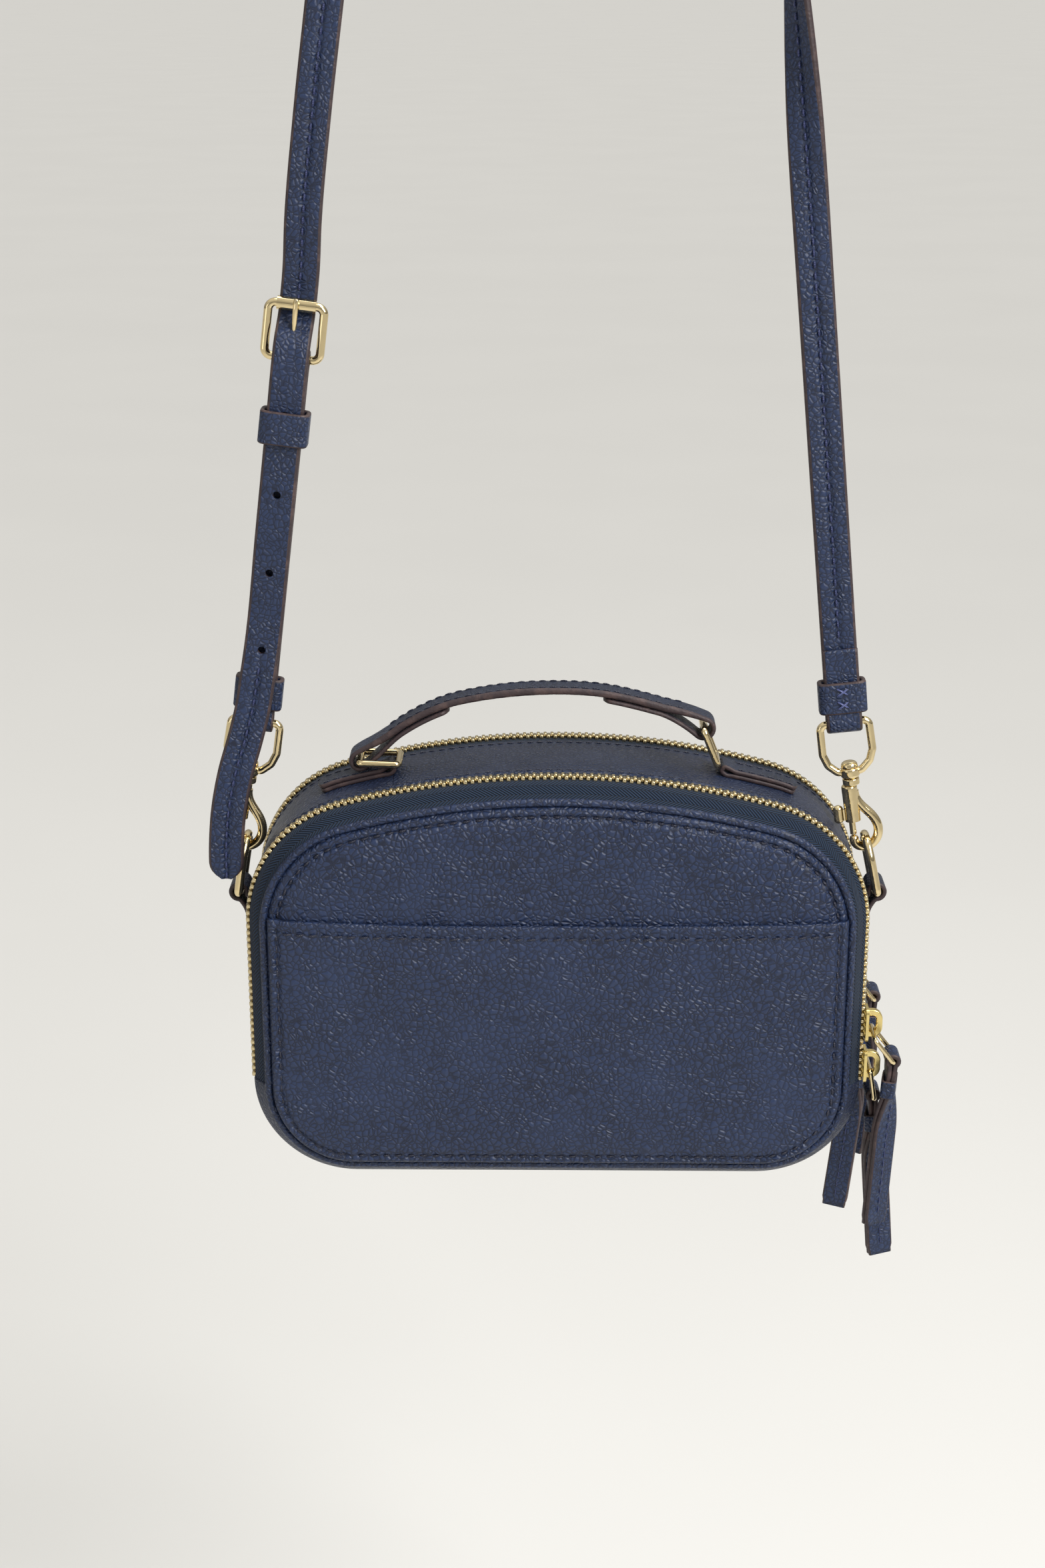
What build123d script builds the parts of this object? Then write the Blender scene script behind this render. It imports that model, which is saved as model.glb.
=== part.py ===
"""A small leather crossbody purse with two zipped compartments, a top handle and a shoulder strap.

Millimetres, +Z up, the front of the purse faces -Y. The purse hangs from its strap: the origin is
the underside of the strap where it lies over a peg. Every piece is drawn in the bag frame, whose
height 0 is the underside of the base, and is lowered by HANG_HEIGHT when it is written.
"""
from build123d import *
import os
from math import asin, atan2, cos, degrees, hypot, radians, sin, sqrt

# ---------------------------------------------------------------- driving sizes
BAG_WIDTH = 209.0          # over the sides
BAG_HEIGHT = 144.7         # base to the top of the arch
ARCH_ANGLE = 15.5          # half of the angle that the top arch spans
TOP_CORNER_R = 43.0
BASE_CORNER_R = 35.0
BAND_HALF = 17.3           # half the depth of the leather band between the zips
CHAIN_Y = 22.0             # depth of each zip's centre line
FLAT_HALF = 24.8           # depth at which the sides start to slope to the welts
WELT_Y = 31.0              # depth of the welts
FRONT_INSET = 5.5          # how far the front welt lies inside the outline
REAR_INSET = 4.0
LEATHER = 1.8
ZIP_END = 34.0             # height at which the zips end and the base begins
WELT_R = 1.25

TOOTH_ROW = 1.95           # width of one row of teeth
ROW_GAP = 0.9              # gap between the rows, which the slider's web runs in
TEETH_OUT = 0.9            # how far the teeth stand out of the outline
TEETH_IN = 1.7
TAPE = (0.2, 0.8)          # the tape's outer and inner face, in from the outline

PANEL_BULGE = 4.0          # how far the face of a panel stands out from its welt
PANEL_T = 2.0
POCKET_T = 1.5
POCKET_MOUTH = 98.0        # height of the slip pocket's mouth at the sides
POCKET_DIP = 2.0           # how far the mouth sags at the middle
LINING = 0.5
DIVIDER_T = 2.0

SLIDER_L = 12.0
SLIDER_W = 7.8
PLATE_T = 1.0
SLIDER_CLEAR = 0.35
WEB_T = 0.5
CROWN_W = 2.4
CROWN_L = 10.0
CROWN_OUT = 5.0
UPPER_SLIDER_Z = 56.0
LOWER_SLIDER_Z = 40.5

PULL_WIRE_R = 0.8
PULL_RING_L = 11.0         # between the two bars of a pull ring
PULL_RING_W = 13.0
PULL_RING_C = 1.2
PULL_W = 9.2
PULL_T = 3.4
PULL_L = 64.0
RING_SHIFT = 4.0           # the two pulls of one zip hang side by side
PULL_SHIFT = 4.9
HANG_CLEAR = 0.3

HANDLE_W = 10.0
HANDLE_T = 3.6
RING_WIRE_R = 1.2
RING_CC = 13.3             # between the two bars of a handle ring
RING_INNER_W = 10.7
TAB_X = 54.0               # where the handle rings turn in their tabs
TAB_LIFT = 4.2             # height of that turning point over the band
TAB_L = 26.0
TAB_T = 3.0
LEFT_RING_ANGLE = 178.0    # from +X towards +Z: the left ring lies flat
RIGHT_RING_ANGLE = 111.4

STRAP_W = 12.0
STRAP_T = 2.4
STRAP_Y = 0.9              # depth of the strap's centre in its straight legs
FOLD_T = 1.6               # one skived layer where a strap end is folded
HANG_HEIGHT = 700.0
PEG_R = 6.0
HOLE_R = 1.3
HOLE_PITCH = 26.4

EYE_Z = 157.0              # height of the bars that the strap ends hold
RIGHT_EYE_X = BAG_WIDTH / 2 - 7.7
LEFT_EYE_X = 2.0 - BAG_WIDTH / 2
RIGHT_STRAP_LEAN = 6.0     # degrees from the vertical
LEFT_STRAP_LEAN = 7.4
RIGHT_CLIP_LEAN = 9.0
LEFT_CLIP_LEAN = -9.5
EYE_WIRE_R = 1.35
EYE_CC = 16.6
EYE_DROP = 17.8            # from the eye's bar to the middle of its boss
POST_R = 1.65
RUN_CLEAR = 0.08
BARREL_R = 2.7
BARREL_X = -0.9
BARREL_TOP = -22.3
BARREL_END = -35.4
PIN_X = -1.3
PIN_R = 1.1
PIN_END = -40.3
PIN_TOP = -31.0
TRIGGER_TRAVEL = 5.5
HOOK_R = 1.6
BOW_LOW = (2.5, -45.5)     # lowest point of the hook's centre line, from the eye's bar
SIDE_RING_R = 1.5
SIDE_RING_CC = 19.3
SIDE_RING_W = 15.4
SIDE_RING_PLAY = 0.9
SIDE_BAR_X = BAG_WIDTH / 2 + 5.5
SIDE_TAB_W = 12.0
SIDE_TAB_L = 26.0

BUCKLE_S = 123.7           # along the left strap, from the eye's bar to the heel bar
BUCKLE_CC_L = 17.2
BUCKLE_CC_W = 18.0
BUCKLE_R = 1.4
ROLLER_R = 2.2
PRONG_R = 0.85
KEEPER_T = 1.7
KEEPER_L = 11.0

PARTS = {}

# ---------------------------------------------------------------- the outline of the bag
ARCH = radians(ARCH_ANGLE)
TOP_CX = BAG_WIDTH / 2 - TOP_CORNER_R
ARCH_R = TOP_CORNER_R + TOP_CX / sin(ARCH)
ARCH_CZ = BAG_HEIGHT - ARCH_R
TOP_CZ = ARCH_CZ + (ARCH_R - TOP_CORNER_R) * cos(ARCH)
BASE_CX = BAG_WIDTH / 2 - BASE_CORNER_R


def arc(cx, cz, r, start, end, y):
    """Arc in a plane of constant depth, angles in degrees from +X towards +Z."""
    spots = [radians(a) for a in (start, (start + end) / 2, end)]
    return ThreePointArc(*[(cx + r * cos(a), y, cz + r * sin(a)) for a in spots])


def outline(inset, y):
    """The bag's arched outline as a closed wire, moved in by inset, at depth y."""
    top = TOP_CORNER_R - inset
    low = BASE_CORNER_R - inset
    side = BAG_WIDTH / 2 - inset
    return Wire([
        Line((-BASE_CX, y, inset), (BASE_CX, y, inset)),
        arc(BASE_CX, BASE_CORNER_R, low, -90, 0, y),
        Line((side, y, BASE_CORNER_R), (side, y, TOP_CZ)),
        arc(TOP_CX, TOP_CZ, top, 0, 90 - ARCH_ANGLE, y),
        arc(0, ARCH_CZ, ARCH_R - inset, 90 - ARCH_ANGLE, 90 + ARCH_ANGLE, y),
        arc(-TOP_CX, TOP_CZ, top, 90 + ARCH_ANGLE, 180, y),
        Line((-side, y, TOP_CZ), (-side, y, BASE_CORNER_R)),
        arc(-BASE_CX, BASE_CORNER_R, low, 180, 270, y),
    ])


def top_z(x):
    """Height of the band over a point of the top."""
    if abs(x) <= ARCH_R * sin(ARCH):
        return ARCH_CZ + sqrt(ARCH_R ** 2 - x ** 2)
    return TOP_CZ + sqrt(TOP_CORNER_R ** 2 - (abs(x) - TOP_CX) ** 2)


def stack(*sections):
    """Solid ruled through outlines, each given as (inset, depth)."""
    return Solid.make_loft([outline(inset, y) for inset, y in sections], ruled=True)


def slab(x0, x1, y0, y1, z0, z1):
    """Box between two corners."""
    place = Pos((x0 + x1) / 2, (y0 + y1) / 2, (z0 + z1) / 2)
    return place * Box(abs(x1 - x0), abs(y1 - y0), abs(z1 - z0))


def swell(inset):
    """The bag's whole volume between the welts, moved in by inset."""
    return stack((FRONT_INSET + inset, -WELT_Y), (inset, -FLAT_HALF),
                 (inset, FLAT_HALF), (REAR_INSET + inset, WELT_Y))


def skin(outer, inner, y0, y1, z0, z1):
    """Part of the bag's wall: between two insets, two depths and two heights."""
    reach = BAG_WIDTH
    wall = swell(outer) - swell(inner)
    return wall & slab(-reach, reach, y0, y1, z0, z1)


ABOVE = (ZIP_END, 2 * BAG_HEIGHT)
BELOW = (-BAG_HEIGHT, ZIP_END)


def keep(name, shape):
    """Remembers a finished piece under the name it is written by."""
    PARTS[name] = shape


# ---------------------------------------------------------------- shell of the bag
def make_shell():
    """The leather band between the zips, the base, the divider and the linings."""
    tape_edge = WELT_Y - WELT_R - 0.05
    keep("gusset_band", skin(0, LEATHER, -BAND_HALF, BAND_HALF, *ABOVE))
    keep("base_gusset", skin(0, LEATHER, -tape_edge, tape_edge, *BELOW))
    divider = stack((LEATHER + 0.05, -DIVIDER_T / 2), (LEATHER + 0.05, DIVIDER_T / 2))
    keep("divider", divider)
    near = DIVIDER_T / 2 + 0.05
    whole = (-BAG_HEIGHT, 2 * BAG_HEIGHT)
    lined = (LEATHER, LEATHER + LINING)
    keep("front_lining", skin(*lined, -BAND_HALF, -near, *whole) - divider)
    keep("rear_lining", skin(*lined, near, BAND_HALF, *whole) - divider)


def make_zip(side, name):
    """Tapes and rows of teeth of one zip; side is -1 at the front and 1 at the rear."""
    def across(near, far):
        return sorted((side * near, side * far))
    inner_row = (CHAIN_Y - ROW_GAP / 2 - TOOTH_ROW, CHAIN_Y - ROW_GAP / 2)
    outer_row = (CHAIN_Y + ROW_GAP / 2, CHAIN_Y + ROW_GAP / 2 + TOOTH_ROW)
    tape_edge = WELT_Y - WELT_R - 0.05
    teeth = (-TEETH_OUT, TEETH_IN)
    keep(f"{name}_teeth_inner", skin(*teeth, *across(*inner_row), *ABOVE))
    keep(f"{name}_teeth_outer", skin(*teeth, *across(*outer_row), *ABOVE))
    keep(f"{name}_tape_inner", skin(*TAPE, *across(BAND_HALF, inner_row[0]), *ABOVE))
    keep(f"{name}_tape_outer", skin(*TAPE, *across(outer_row[1], tape_edge), *ABOVE))


def make_panel(side, name, inset, pocket):
    """One face of the bag: welt, domed leather panel, its lining and, in front, a slip pocket."""
    rim = inset + WELT_R + 0.1
    face = WELT_Y + PANEL_BULGE
    reach = BAG_WIDTH
    halves = {"": slab(-reach, reach, -reach, reach, *ABOVE),
              "_foot": slab(-reach, reach, -reach, reach, *BELOW)}
    dome = stack((rim, side * (WELT_Y - 0.4)), (rim + 0.7, side * (WELT_Y + PANEL_BULGE / 2)),
                 (rim + 6, side * face))
    hollow = stack((rim + PANEL_T, side * (WELT_Y - 0.5)),
                   (rim + 0.7 + PANEL_T, side * (WELT_Y + PANEL_BULGE / 2 - PANEL_T + 0.4)),
                   (rim + 6 + PANEL_T, side * (face - PANEL_T)))
    path = outline(inset, side * WELT_Y)
    start = Plane(origin=(0, side * WELT_Y, inset), z_dir=(1, 0, 0))
    welt = sweep(start * Circle(WELT_R), path=path)
    lining = stack((rim + 8.5, side * (face - PANEL_T)), (rim + 8.5, side * (face - PANEL_T - LINING)))
    for suffix, half in halves.items():
        keep(f"{name}_panel{suffix}", (dome - hollow) & half)
        keep(f"{name}_welt{suffix}", welt & half)
    keep(f"{name}_panel_lining", lining & halves[""])
    if pocket:
        cover = stack((rim + 0.05, side * (WELT_Y + 1.6)),
                      (rim + 0.8, side * (WELT_Y + PANEL_BULGE / 2 + POCKET_T)),
                      (rim + 6, side * (face + POCKET_T)))
        half_w = BAG_WIDTH / 2
        dip_r = (half_w ** 2 + POCKET_DIP ** 2) / (2 * POCKET_DIP)
        mouth = Pos(0, 0, POCKET_MOUTH - POCKET_DIP + dip_r) * Rot(90, 0, 0) * Cylinder(dip_r, reach)
        cover = cover - dome - mouth - slab(-reach, reach, -reach, reach, POCKET_MOUTH, 2 * BAG_HEIGHT)
        for suffix, half in halves.items():
            keep(f"{name}_pocket{suffix}", cover & half)


# ---------------------------------------------------------------- zip sliders and pulls
def wire_ring(length, width, r, corner):
    """Rounded rectangular ring in the XY plane; the bars at x 0 and x length run along Y."""
    path = Pos(length / 2, 0) * RectangleRounded(length, width, corner)
    start = Plane(origin=(length / 2, -width / 2, 0), z_dir=(1, 0, 0))
    return sweep(start * Circle(r), path=path.face().outer_wire())


def make_slider(side, name, z):
    """A slider on the right-hand side of a zip, its crown, its ring and its leather pull."""
    outer = BAG_WIDTH / 2
    plan = RectangleRounded(SLIDER_W, SLIDER_L, 1.6)
    top_x = outer + TEETH_OUT + SLIDER_CLEAR
    low_x = outer - TEETH_IN - SLIDER_CLEAR
    flat = Plane(origin=(top_x, 0, 0), x_dir=(0, 1, 0), z_dir=(1, 0, 0))
    top = extrude(flat * plan, PLATE_T)
    low = extrude(Plane(origin=(low_x, 0, 0), x_dir=(0, 1, 0), z_dir=(-1, 0, 0)) * plan, PLATE_T)
    web = slab(low_x - 0.2, top_x + 0.2, -WEB_T / 2, WEB_T / 2, -SLIDER_L / 2 + 1, SLIDER_L / 2 - 1)
    inward = -side
    lip_y = sorted((inward * (SLIDER_W / 2 - 0.7), inward * SLIDER_W / 2))
    lip_z = SLIDER_L / 2 - 1.8
    tape_x = outer - (TAPE[0] + TAPE[1]) / 2
    lips = slab(tape_x + 0.7, top_x + 0.2, *lip_y, -lip_z, lip_z)
    lips += slab(low_x - 0.2, tape_x - 0.7, *lip_y, -lip_z, lip_z)
    crown_x = top_x + PLATE_T
    crown = slab(crown_x - 0.3, crown_x + CROWN_OUT, -CROWN_W / 2, CROWN_W / 2,
                 -CROWN_L / 2, CROWN_L / 2)
    far = crown.edges().filter_by(Axis.Y).sort_by(Axis.X)[-2:]
    crown = fillet(far, 3.4)
    wall = 2.1
    hole = slab(crown_x, crown_x + CROWN_OUT - wall, -CROWN_W, CROWN_W,
                -CROWN_L / 2 + wall, CROWN_L / 2 - wall)
    crown -= fillet(hole.edges().filter_by(Axis.Y).sort_by(Axis.X)[-2:], 1.3)
    crown = fillet(crown.edges().filter_by(GeomType.CIRCLE), 0.35)
    body = top + low + web + lips + crown
    keep(name, Pos(0, side * CHAIN_Y, z) * body)
    return crown_x + (CROWN_OUT - wall) / 2


def looped_strip(length, width, thick, bar_r, clear, ply):
    """Leather strip hanging down -Z, folded over a bar along Y at the origin."""
    out_r = bar_r + clear + ply
    strip = slab(-thick / 2, thick / 2, -width / 2, width / 2, -length, -out_r * 0.55)
    loop = Rot(90, 0, 0) * Cylinder(out_r, width)
    neck = Rot(90, 0, 0) * extrude(Plane.XY * Polygon((-out_r * 0.98, 0), (out_r * 0.98, 0),
                                                    (thick / 2, -out_r * 2.2),
                                                    (-thick / 2, -out_r * 2.2), align=None),
                                   width / 2, both=True)
    body = strip + loop + neck
    return body - Rot(90, 0, 0) * Cylinder(bar_r + clear, width * 1.5)


def make_pull(side, name, z, ring_tilt, pull_tilt, inward):
    """Ring and leather pull of one slider. Tilts are degrees outwards from hanging straight down."""
    outer = BAG_WIDTH / 2
    bar_x = outer + TEETH_OUT + SLIDER_CLEAR + PLATE_T + 1.45
    bar_z = z - CROWN_L / 2 + 2.1 + PULL_WIRE_R + 0.1
    y = side * (CHAIN_Y - inward * RING_SHIFT)
    pull_y = side * (CHAIN_Y - inward * PULL_SHIFT)
    ring = wire_ring(PULL_RING_L, PULL_RING_W, PULL_WIRE_R, PULL_RING_C)
    keep(f"{name}_ring", Pos(bar_x, y, bar_z) * Rot(0, 90 - ring_tilt, 0) * ring)
    low_x = bar_x + PULL_RING_L * sin(radians(ring_tilt))
    low_z = bar_z - PULL_RING_L * cos(radians(ring_tilt))
    strip = looped_strip(PULL_L, PULL_W, PULL_T, PULL_WIRE_R, HANG_CLEAR, 1.6)
    keep(f"{name}_pull", Pos(low_x, pull_y, low_z) * Rot(0, -pull_tilt, 0) * strip)
    return (bar_x, y, bar_z), (low_x, pull_y, low_z)


# ---------------------------------------------------------------- handle
def ribbon(points, thick, width):
    """Strip of even thickness along points in the XZ plane, width along Y."""
    count = len(points)
    upper = []
    lower = []
    for i, (x, z) in enumerate(points):
        ax, az = points[max(i - 1, 0)]
        bx, bz = points[min(i + 1, count - 1)]
        run = hypot(bx - ax, bz - az)
        nx, nz = -(bz - az) / run, (bx - ax) / run
        upper.append((x + nx * thick / 2, z + nz * thick / 2))
        lower.append((x - nx * thick / 2, z - nz * thick / 2))
    top = Spline(*upper)
    low = Spline(*lower[::-1])
    edge = Wire([top, Line(upper[-1], lower[-1]), low, Line(lower[0], upper[0])])
    return extrude(Plane.XZ * Face(edge), width / 2, both=True)


def make_handle():
    """Two leather tabs, two rings and the folded leather handle between them."""
    ring = wire_ring(RING_CC, RING_INNER_W + 2 * RING_WIRE_R, RING_WIRE_R, 1.45)
    loop_in = RING_WIRE_R + 0.6
    loop_out = loop_in + 1.6
    joints = {}
    for sign, name, angle in ((-1, "left", LEFT_RING_ANGLE), (1, "right", RIGHT_RING_ANGLE)):
        seat_x = TAB_X + TAB_L / 2 - 1
        slope = degrees(asin(seat_x / ARCH_R))
        pivot = Vector(sign * TAB_X, 0, top_z(TAB_X) + TAB_LIFT)
        seat = Location((sign * seat_x, 0, top_z(seat_x) + 0.03), (0, sign * slope, 0))
        local = seat.inverse() * Location(pivot)
        px, pz = local.position.X, local.position.Z
        strip = slab(*sorted((px - sign * 1.0, px + sign * TAB_L)), -HANDLE_W / 2, HANDLE_W / 2, 0, TAB_T)
        loop = Pos(px, 0, pz) * Rot(90, 0, 0) * Cylinder(max(loop_out, pz - 0.02), HANDLE_W)
        tab = strip + loop
        tab -= Pos(px, 0, pz) * Rot(90, 0, 0) * Cylinder(loop_in, 2 * HANDLE_W)
        keep(f"handle_tab_{name}", seat * tab)
        keep(f"handle_ring_{name}", Pos(*pivot) * Rot(0, -angle, 0) * ring)
        far = pivot + Vector(RING_CC * cos(radians(angle)), 0, RING_CC * sin(radians(angle)))
        joints[name] = (pivot, far)
    left, right = joints["left"][1], joints["right"][1]
    play = 2.0                                  # the open pivot at the right needs this much room
    middle = [(left.X - 1.0, left.Z + 4.0), (left.X + 9.0, left.Z + 7.2), (left.X + 22.0, left.Z + 16.2),
              (left.X + 40.0, left.Z + 21.8), (-6.0, left.Z + 24.6), (18.0, left.Z + 23.4),
              (right.X - 12.0, right.Z + 6.6), (right.X + 0.5, right.Z + 4.1)]
    grip = ribbon(middle, HANDLE_T, HANDLE_W)
    left_loop = Pos(*left) * Rot(90, 0, 0) * Cylinder(loop_out + 0.5, HANDLE_W)
    right_loop = Pos(*right) * Rot(90, 0, 0) * Cylinder(loop_in + play + 1.6, HANDLE_W)
    handle = grip + left_loop + right_loop
    handle -= Pos(*left) * Rot(90, 0, 0) * Cylinder(loop_in, 2 * HANDLE_W)
    handle -= Pos(*right) * Rot(90, 0, 0) * Cylinder(loop_in + play, 2 * HANDLE_W)
    keep("handle", handle)
    return joints


# ---------------------------------------------------------------- strap
def direction(lean):
    """Unit vector up a strap that leans by that many degrees towards +X."""
    return Vector(sin(radians(lean)), 0, cos(radians(lean)))


def band_along(points):
    """Strap ruled through rectangles at points (x, y, z, twist in degrees)."""
    spots = [Vector(*p[:3]) for p in points]
    faces = []
    for i, spot in enumerate(spots):
        ahead = (spots[min(i + 1, len(spots) - 1)] - spots[max(i - 1, 0)]).normalized()
        front = Vector(0, -1, 0)
        front = (front - ahead * front.dot(ahead)).normalized()
        front = front.rotate(Axis((0, 0, 0), tuple(ahead)), points[i][3])
        plane = Plane(origin=tuple(spot), x_dir=tuple(ahead.cross(front)), z_dir=tuple(ahead))
        faces.append((plane * Rectangle(STRAP_W, STRAP_T)).face().outer_wire())
    return Solid.make_loft(faces, ruled=True)


def strap_frame(x, z, lean):
    """Location at a strap end's bar whose local Z runs up the strap."""
    return Location((x, 0, z), (0, lean, 0))


RIGHT_STRAP = strap_frame(RIGHT_EYE_X, EYE_Z, -RIGHT_STRAP_LEAN)
LEFT_STRAP = strap_frame(LEFT_EYE_X, EYE_Z, LEFT_STRAP_LEAN)
RIGHT_CLIP = strap_frame(RIGHT_EYE_X, EYE_Z, -RIGHT_CLIP_LEAN)
LEFT_CLIP = strap_frame(LEFT_EYE_X, EYE_Z, -LEFT_CLIP_LEAN)


def on_left(s, y):
    """Point on the left strap's line, s up from the eye's bar, at depth y."""
    spot = (LEFT_STRAP * Location((0, y, s))).position
    return (spot.X, spot.Y, spot.Z)


def fold(bar_r, length):
    """Strap end folded over a bar along X at the origin, going up +Z."""
    inner = bar_r + 0.4
    outer = inner + FOLD_T
    body = Rot(0, 90, 0) * Cylinder(outer, STRAP_W)
    body += slab(-STRAP_W / 2, STRAP_W / 2, -FOLD_T - 0.1, FOLD_T + 0.1, outer * 0.6, length)
    return body - Rot(0, 90, 0) * Cylinder(inner, 2 * STRAP_W)


def keeper(y0, y1):
    """Leather keeper round a strap stack between two depths, middle at z 0."""
    half = STRAP_W / 2 + 0.55
    outer = slab(-half - KEEPER_T, half + KEEPER_T, y0 - KEEPER_T, y1 + KEEPER_T, -KEEPER_L / 2, KEEPER_L / 2)
    outer = fillet(outer.edges().filter_by(Axis.Z), 2.2)
    inner = slab(-half, half, y0, y1, -KEEPER_L, KEEPER_L)
    inner = fillet(inner.edges().filter_by(Axis.Z), 0.8)
    return outer - inner


def spread(x, z):
    """Strap route point, drawn for a 209 mm bag, moved outwards with a wider bag, less near the peg."""
    share = min(1.0, (HANG_HEIGHT - z) / (HANG_HEIGHT - 393))
    return x + (1 if x > 0 else -1) * (BAG_WIDTH - 209.0) / 2 * share


def make_strap():
    """Long strap piece with holes, short buckle piece and the three keepers."""
    lean = radians(RIGHT_STRAP_LEAN)

    def leg(s):
        return (RIGHT_EYE_X - s * sin(lean), STRAP_Y, EYE_Z + s * cos(lean))
    right = [(*leg(s), 0) for s in (12, 40, 80, 120, 160)]
    right += [(*leg(195), -22), (*leg(215), -42), (*leg(235), -61)]
    rise = [(68.3, 0.7, 425), (63.3, 0.4, 462), (56.0, 0, 508), (46.0, 0, 555), (34.0, 0, 602),
            (20.8, 0, 645), (10.9, 0, 674)]
    rise = [(spread(x, z), y, z) for x, y, z in rise]
    peg_z = HANG_HEIGHT - PEG_R
    bend = PEG_R + STRAP_T / 2
    over = [(bend * cos(radians(a)), 0, peg_z + bend * sin(radians(a)), -90) for a in range(0, 181, 30)]
    up_twist = (-78, -90, -90, -90, -90, -90, -90)
    down_twist = (-8, -32, -64, -86, -90, -90, -90)
    going_up = [(*p, t) for p, t in zip(rise, up_twist)]
    going_down = [(-x, y, z, t) for (x, y, z), t in zip(rise, down_twist)][::-1]
    heel_front = -(BUCKLE_R + 0.4 + FOLD_T + 0.3 + STRAP_T / 2)
    behind = ROLLER_R + 0.4 + STRAP_T / 2
    left = [(spread(x, z), STRAP_Y + y, z, 0) for x, y, z in ((-72.6, 0, 393), (-77.8, 0, 356), (-81.8, 0.3, 322))]
    roller_s = BUCKLE_S + BUCKLE_CC_L
    left += [(*on_left(s, y), 0) for s, y in (
        (roller_s + 11, 3.0), (roller_s + 2.5, behind + 0.4), (roller_s - 2.5, behind - 0.3),
        (BUCKLE_S + 4.5, heel_front + 0.9), (BUCKLE_S - 2, heel_front), (105, -4.3), (66, -4.0), (28, -4.4))]
    left += [(spread(x, z), y, z, 0) for x, y, z in (
        (-100.7, -5.9, 174), (-102.5, -6.6, 164), (-105.4, -7.9, 153), (-109.0, -9.7, 141),
        (-111.7, -11.6, 127), (-112.6, -12.7, 116), (-112.8, -13.3, 107.5))]
    body = band_along(right + going_up + over + going_down + left)
    body += RIGHT_STRAP * fold(EYE_WIRE_R, 26.5)
    for i in range(4):
        s = BUCKLE_S + 8.5 - HOLE_PITCH * (i + 1)
        body -= Location(on_left(s, -4.3)) * Rot(90, 0, 0) * Cylinder(HOLE_R, 12)
    prong_hole = Rot(0, 0, 0) * slab(-HOLE_R, HOLE_R, -6, 6, -4.6, 5.4)
    body -= LEFT_STRAP * Pos(0, 0, BUCKLE_S + 8.0) * fillet(prong_hole.edges().filter_by(Axis.Y), 1.2)
    tip = Pos(spread(-112.8, 107.5), -13, 107.5) * (slab(-8, 8, -6, 6, -3, 5.5) - Pos(0, 0, 5.6) * Rot(90, 0, 0)
                                     * Cylinder(STRAP_W / 2 + 0.2, 14))
    body -= tip
    keep("strap_long", body)

    lower = fold(EYE_WIRE_R, BUCKLE_S / 2)
    upper = Pos(0, 0, BUCKLE_S) * Rot(180, 0, 0) * fold(BUCKLE_R, BUCKLE_S / 2)
    upper -= slab(-1.6, 1.6, -6, 6, BUCKLE_S - 4.2, BUCKLE_S + 6)
    keep("strap_short", LEFT_STRAP * (lower + upper))
    stack_y = (-(FOLD_T + 0.3), FOLD_T + 0.3)
    keep("strap_keeper_left", LEFT_STRAP * Pos(0, 0, 10.4) * keeper(*stack_y))
    keep("strap_keeper_right", RIGHT_STRAP * Pos(0, 0, 9.4) * keeper(-FOLD_T - 0.3, STRAP_Y + STRAP_T / 2 + 0.3))
    keep("strap_keeper_loose", LEFT_STRAP * Pos(0, 0, 101.5) * keeper(-4.3 - STRAP_T / 2 - 0.45, FOLD_T + 0.4))


def make_buckle():
    """Roller buckle: frame, roller on its far bar, and the prong that turns on its heel bar."""
    frame_path = Pos(0, BUCKLE_CC_L / 2) * RectangleRounded(BUCKLE_CC_W, BUCKLE_CC_L, 2.4)
    start = Plane(origin=(0, 0, 0), z_dir=(1, 0, 0))
    frame = sweep(start * Circle(BUCKLE_R), path=frame_path.face().outer_wire())
    stand = LEFT_STRAP * Pos(0, 0, BUCKLE_S) * Rot(90, 0, 0)
    keep("buckle_frame", stand * frame)
    roller = Cylinder(ROLLER_R, 12.6) - Cylinder(BUCKLE_R + RUN_CLEAR, 20)
    keep("buckle_roller", stand * Pos(0, BUCKLE_CC_L, 0) * Rot(0, 90, 0) * roller)
    tip_y = ROLLER_R + PRONG_R + 0.35
    ring = Rot(0, 90, 0) * (Cylinder(BUCKLE_R + 1.3, 2.4) - Cylinder(BUCKLE_R + RUN_CLEAR, 20))
    line = Spline((0, BUCKLE_R + 0.8, 0.2), (0, 8.5, 1.4), (0, BUCKLE_CC_L - 2.0, tip_y - 0.1),
                  (0, BUCKLE_CC_L + 1.6, tip_y))
    rod = sweep(Plane(origin=line @ 0, z_dir=line % 0) * Circle(PRONG_R), path=line)
    rod += Pos(*(line @ 1)) * Sphere(PRONG_R)
    keep("buckle_prong", stand * (ring + rod))


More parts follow.
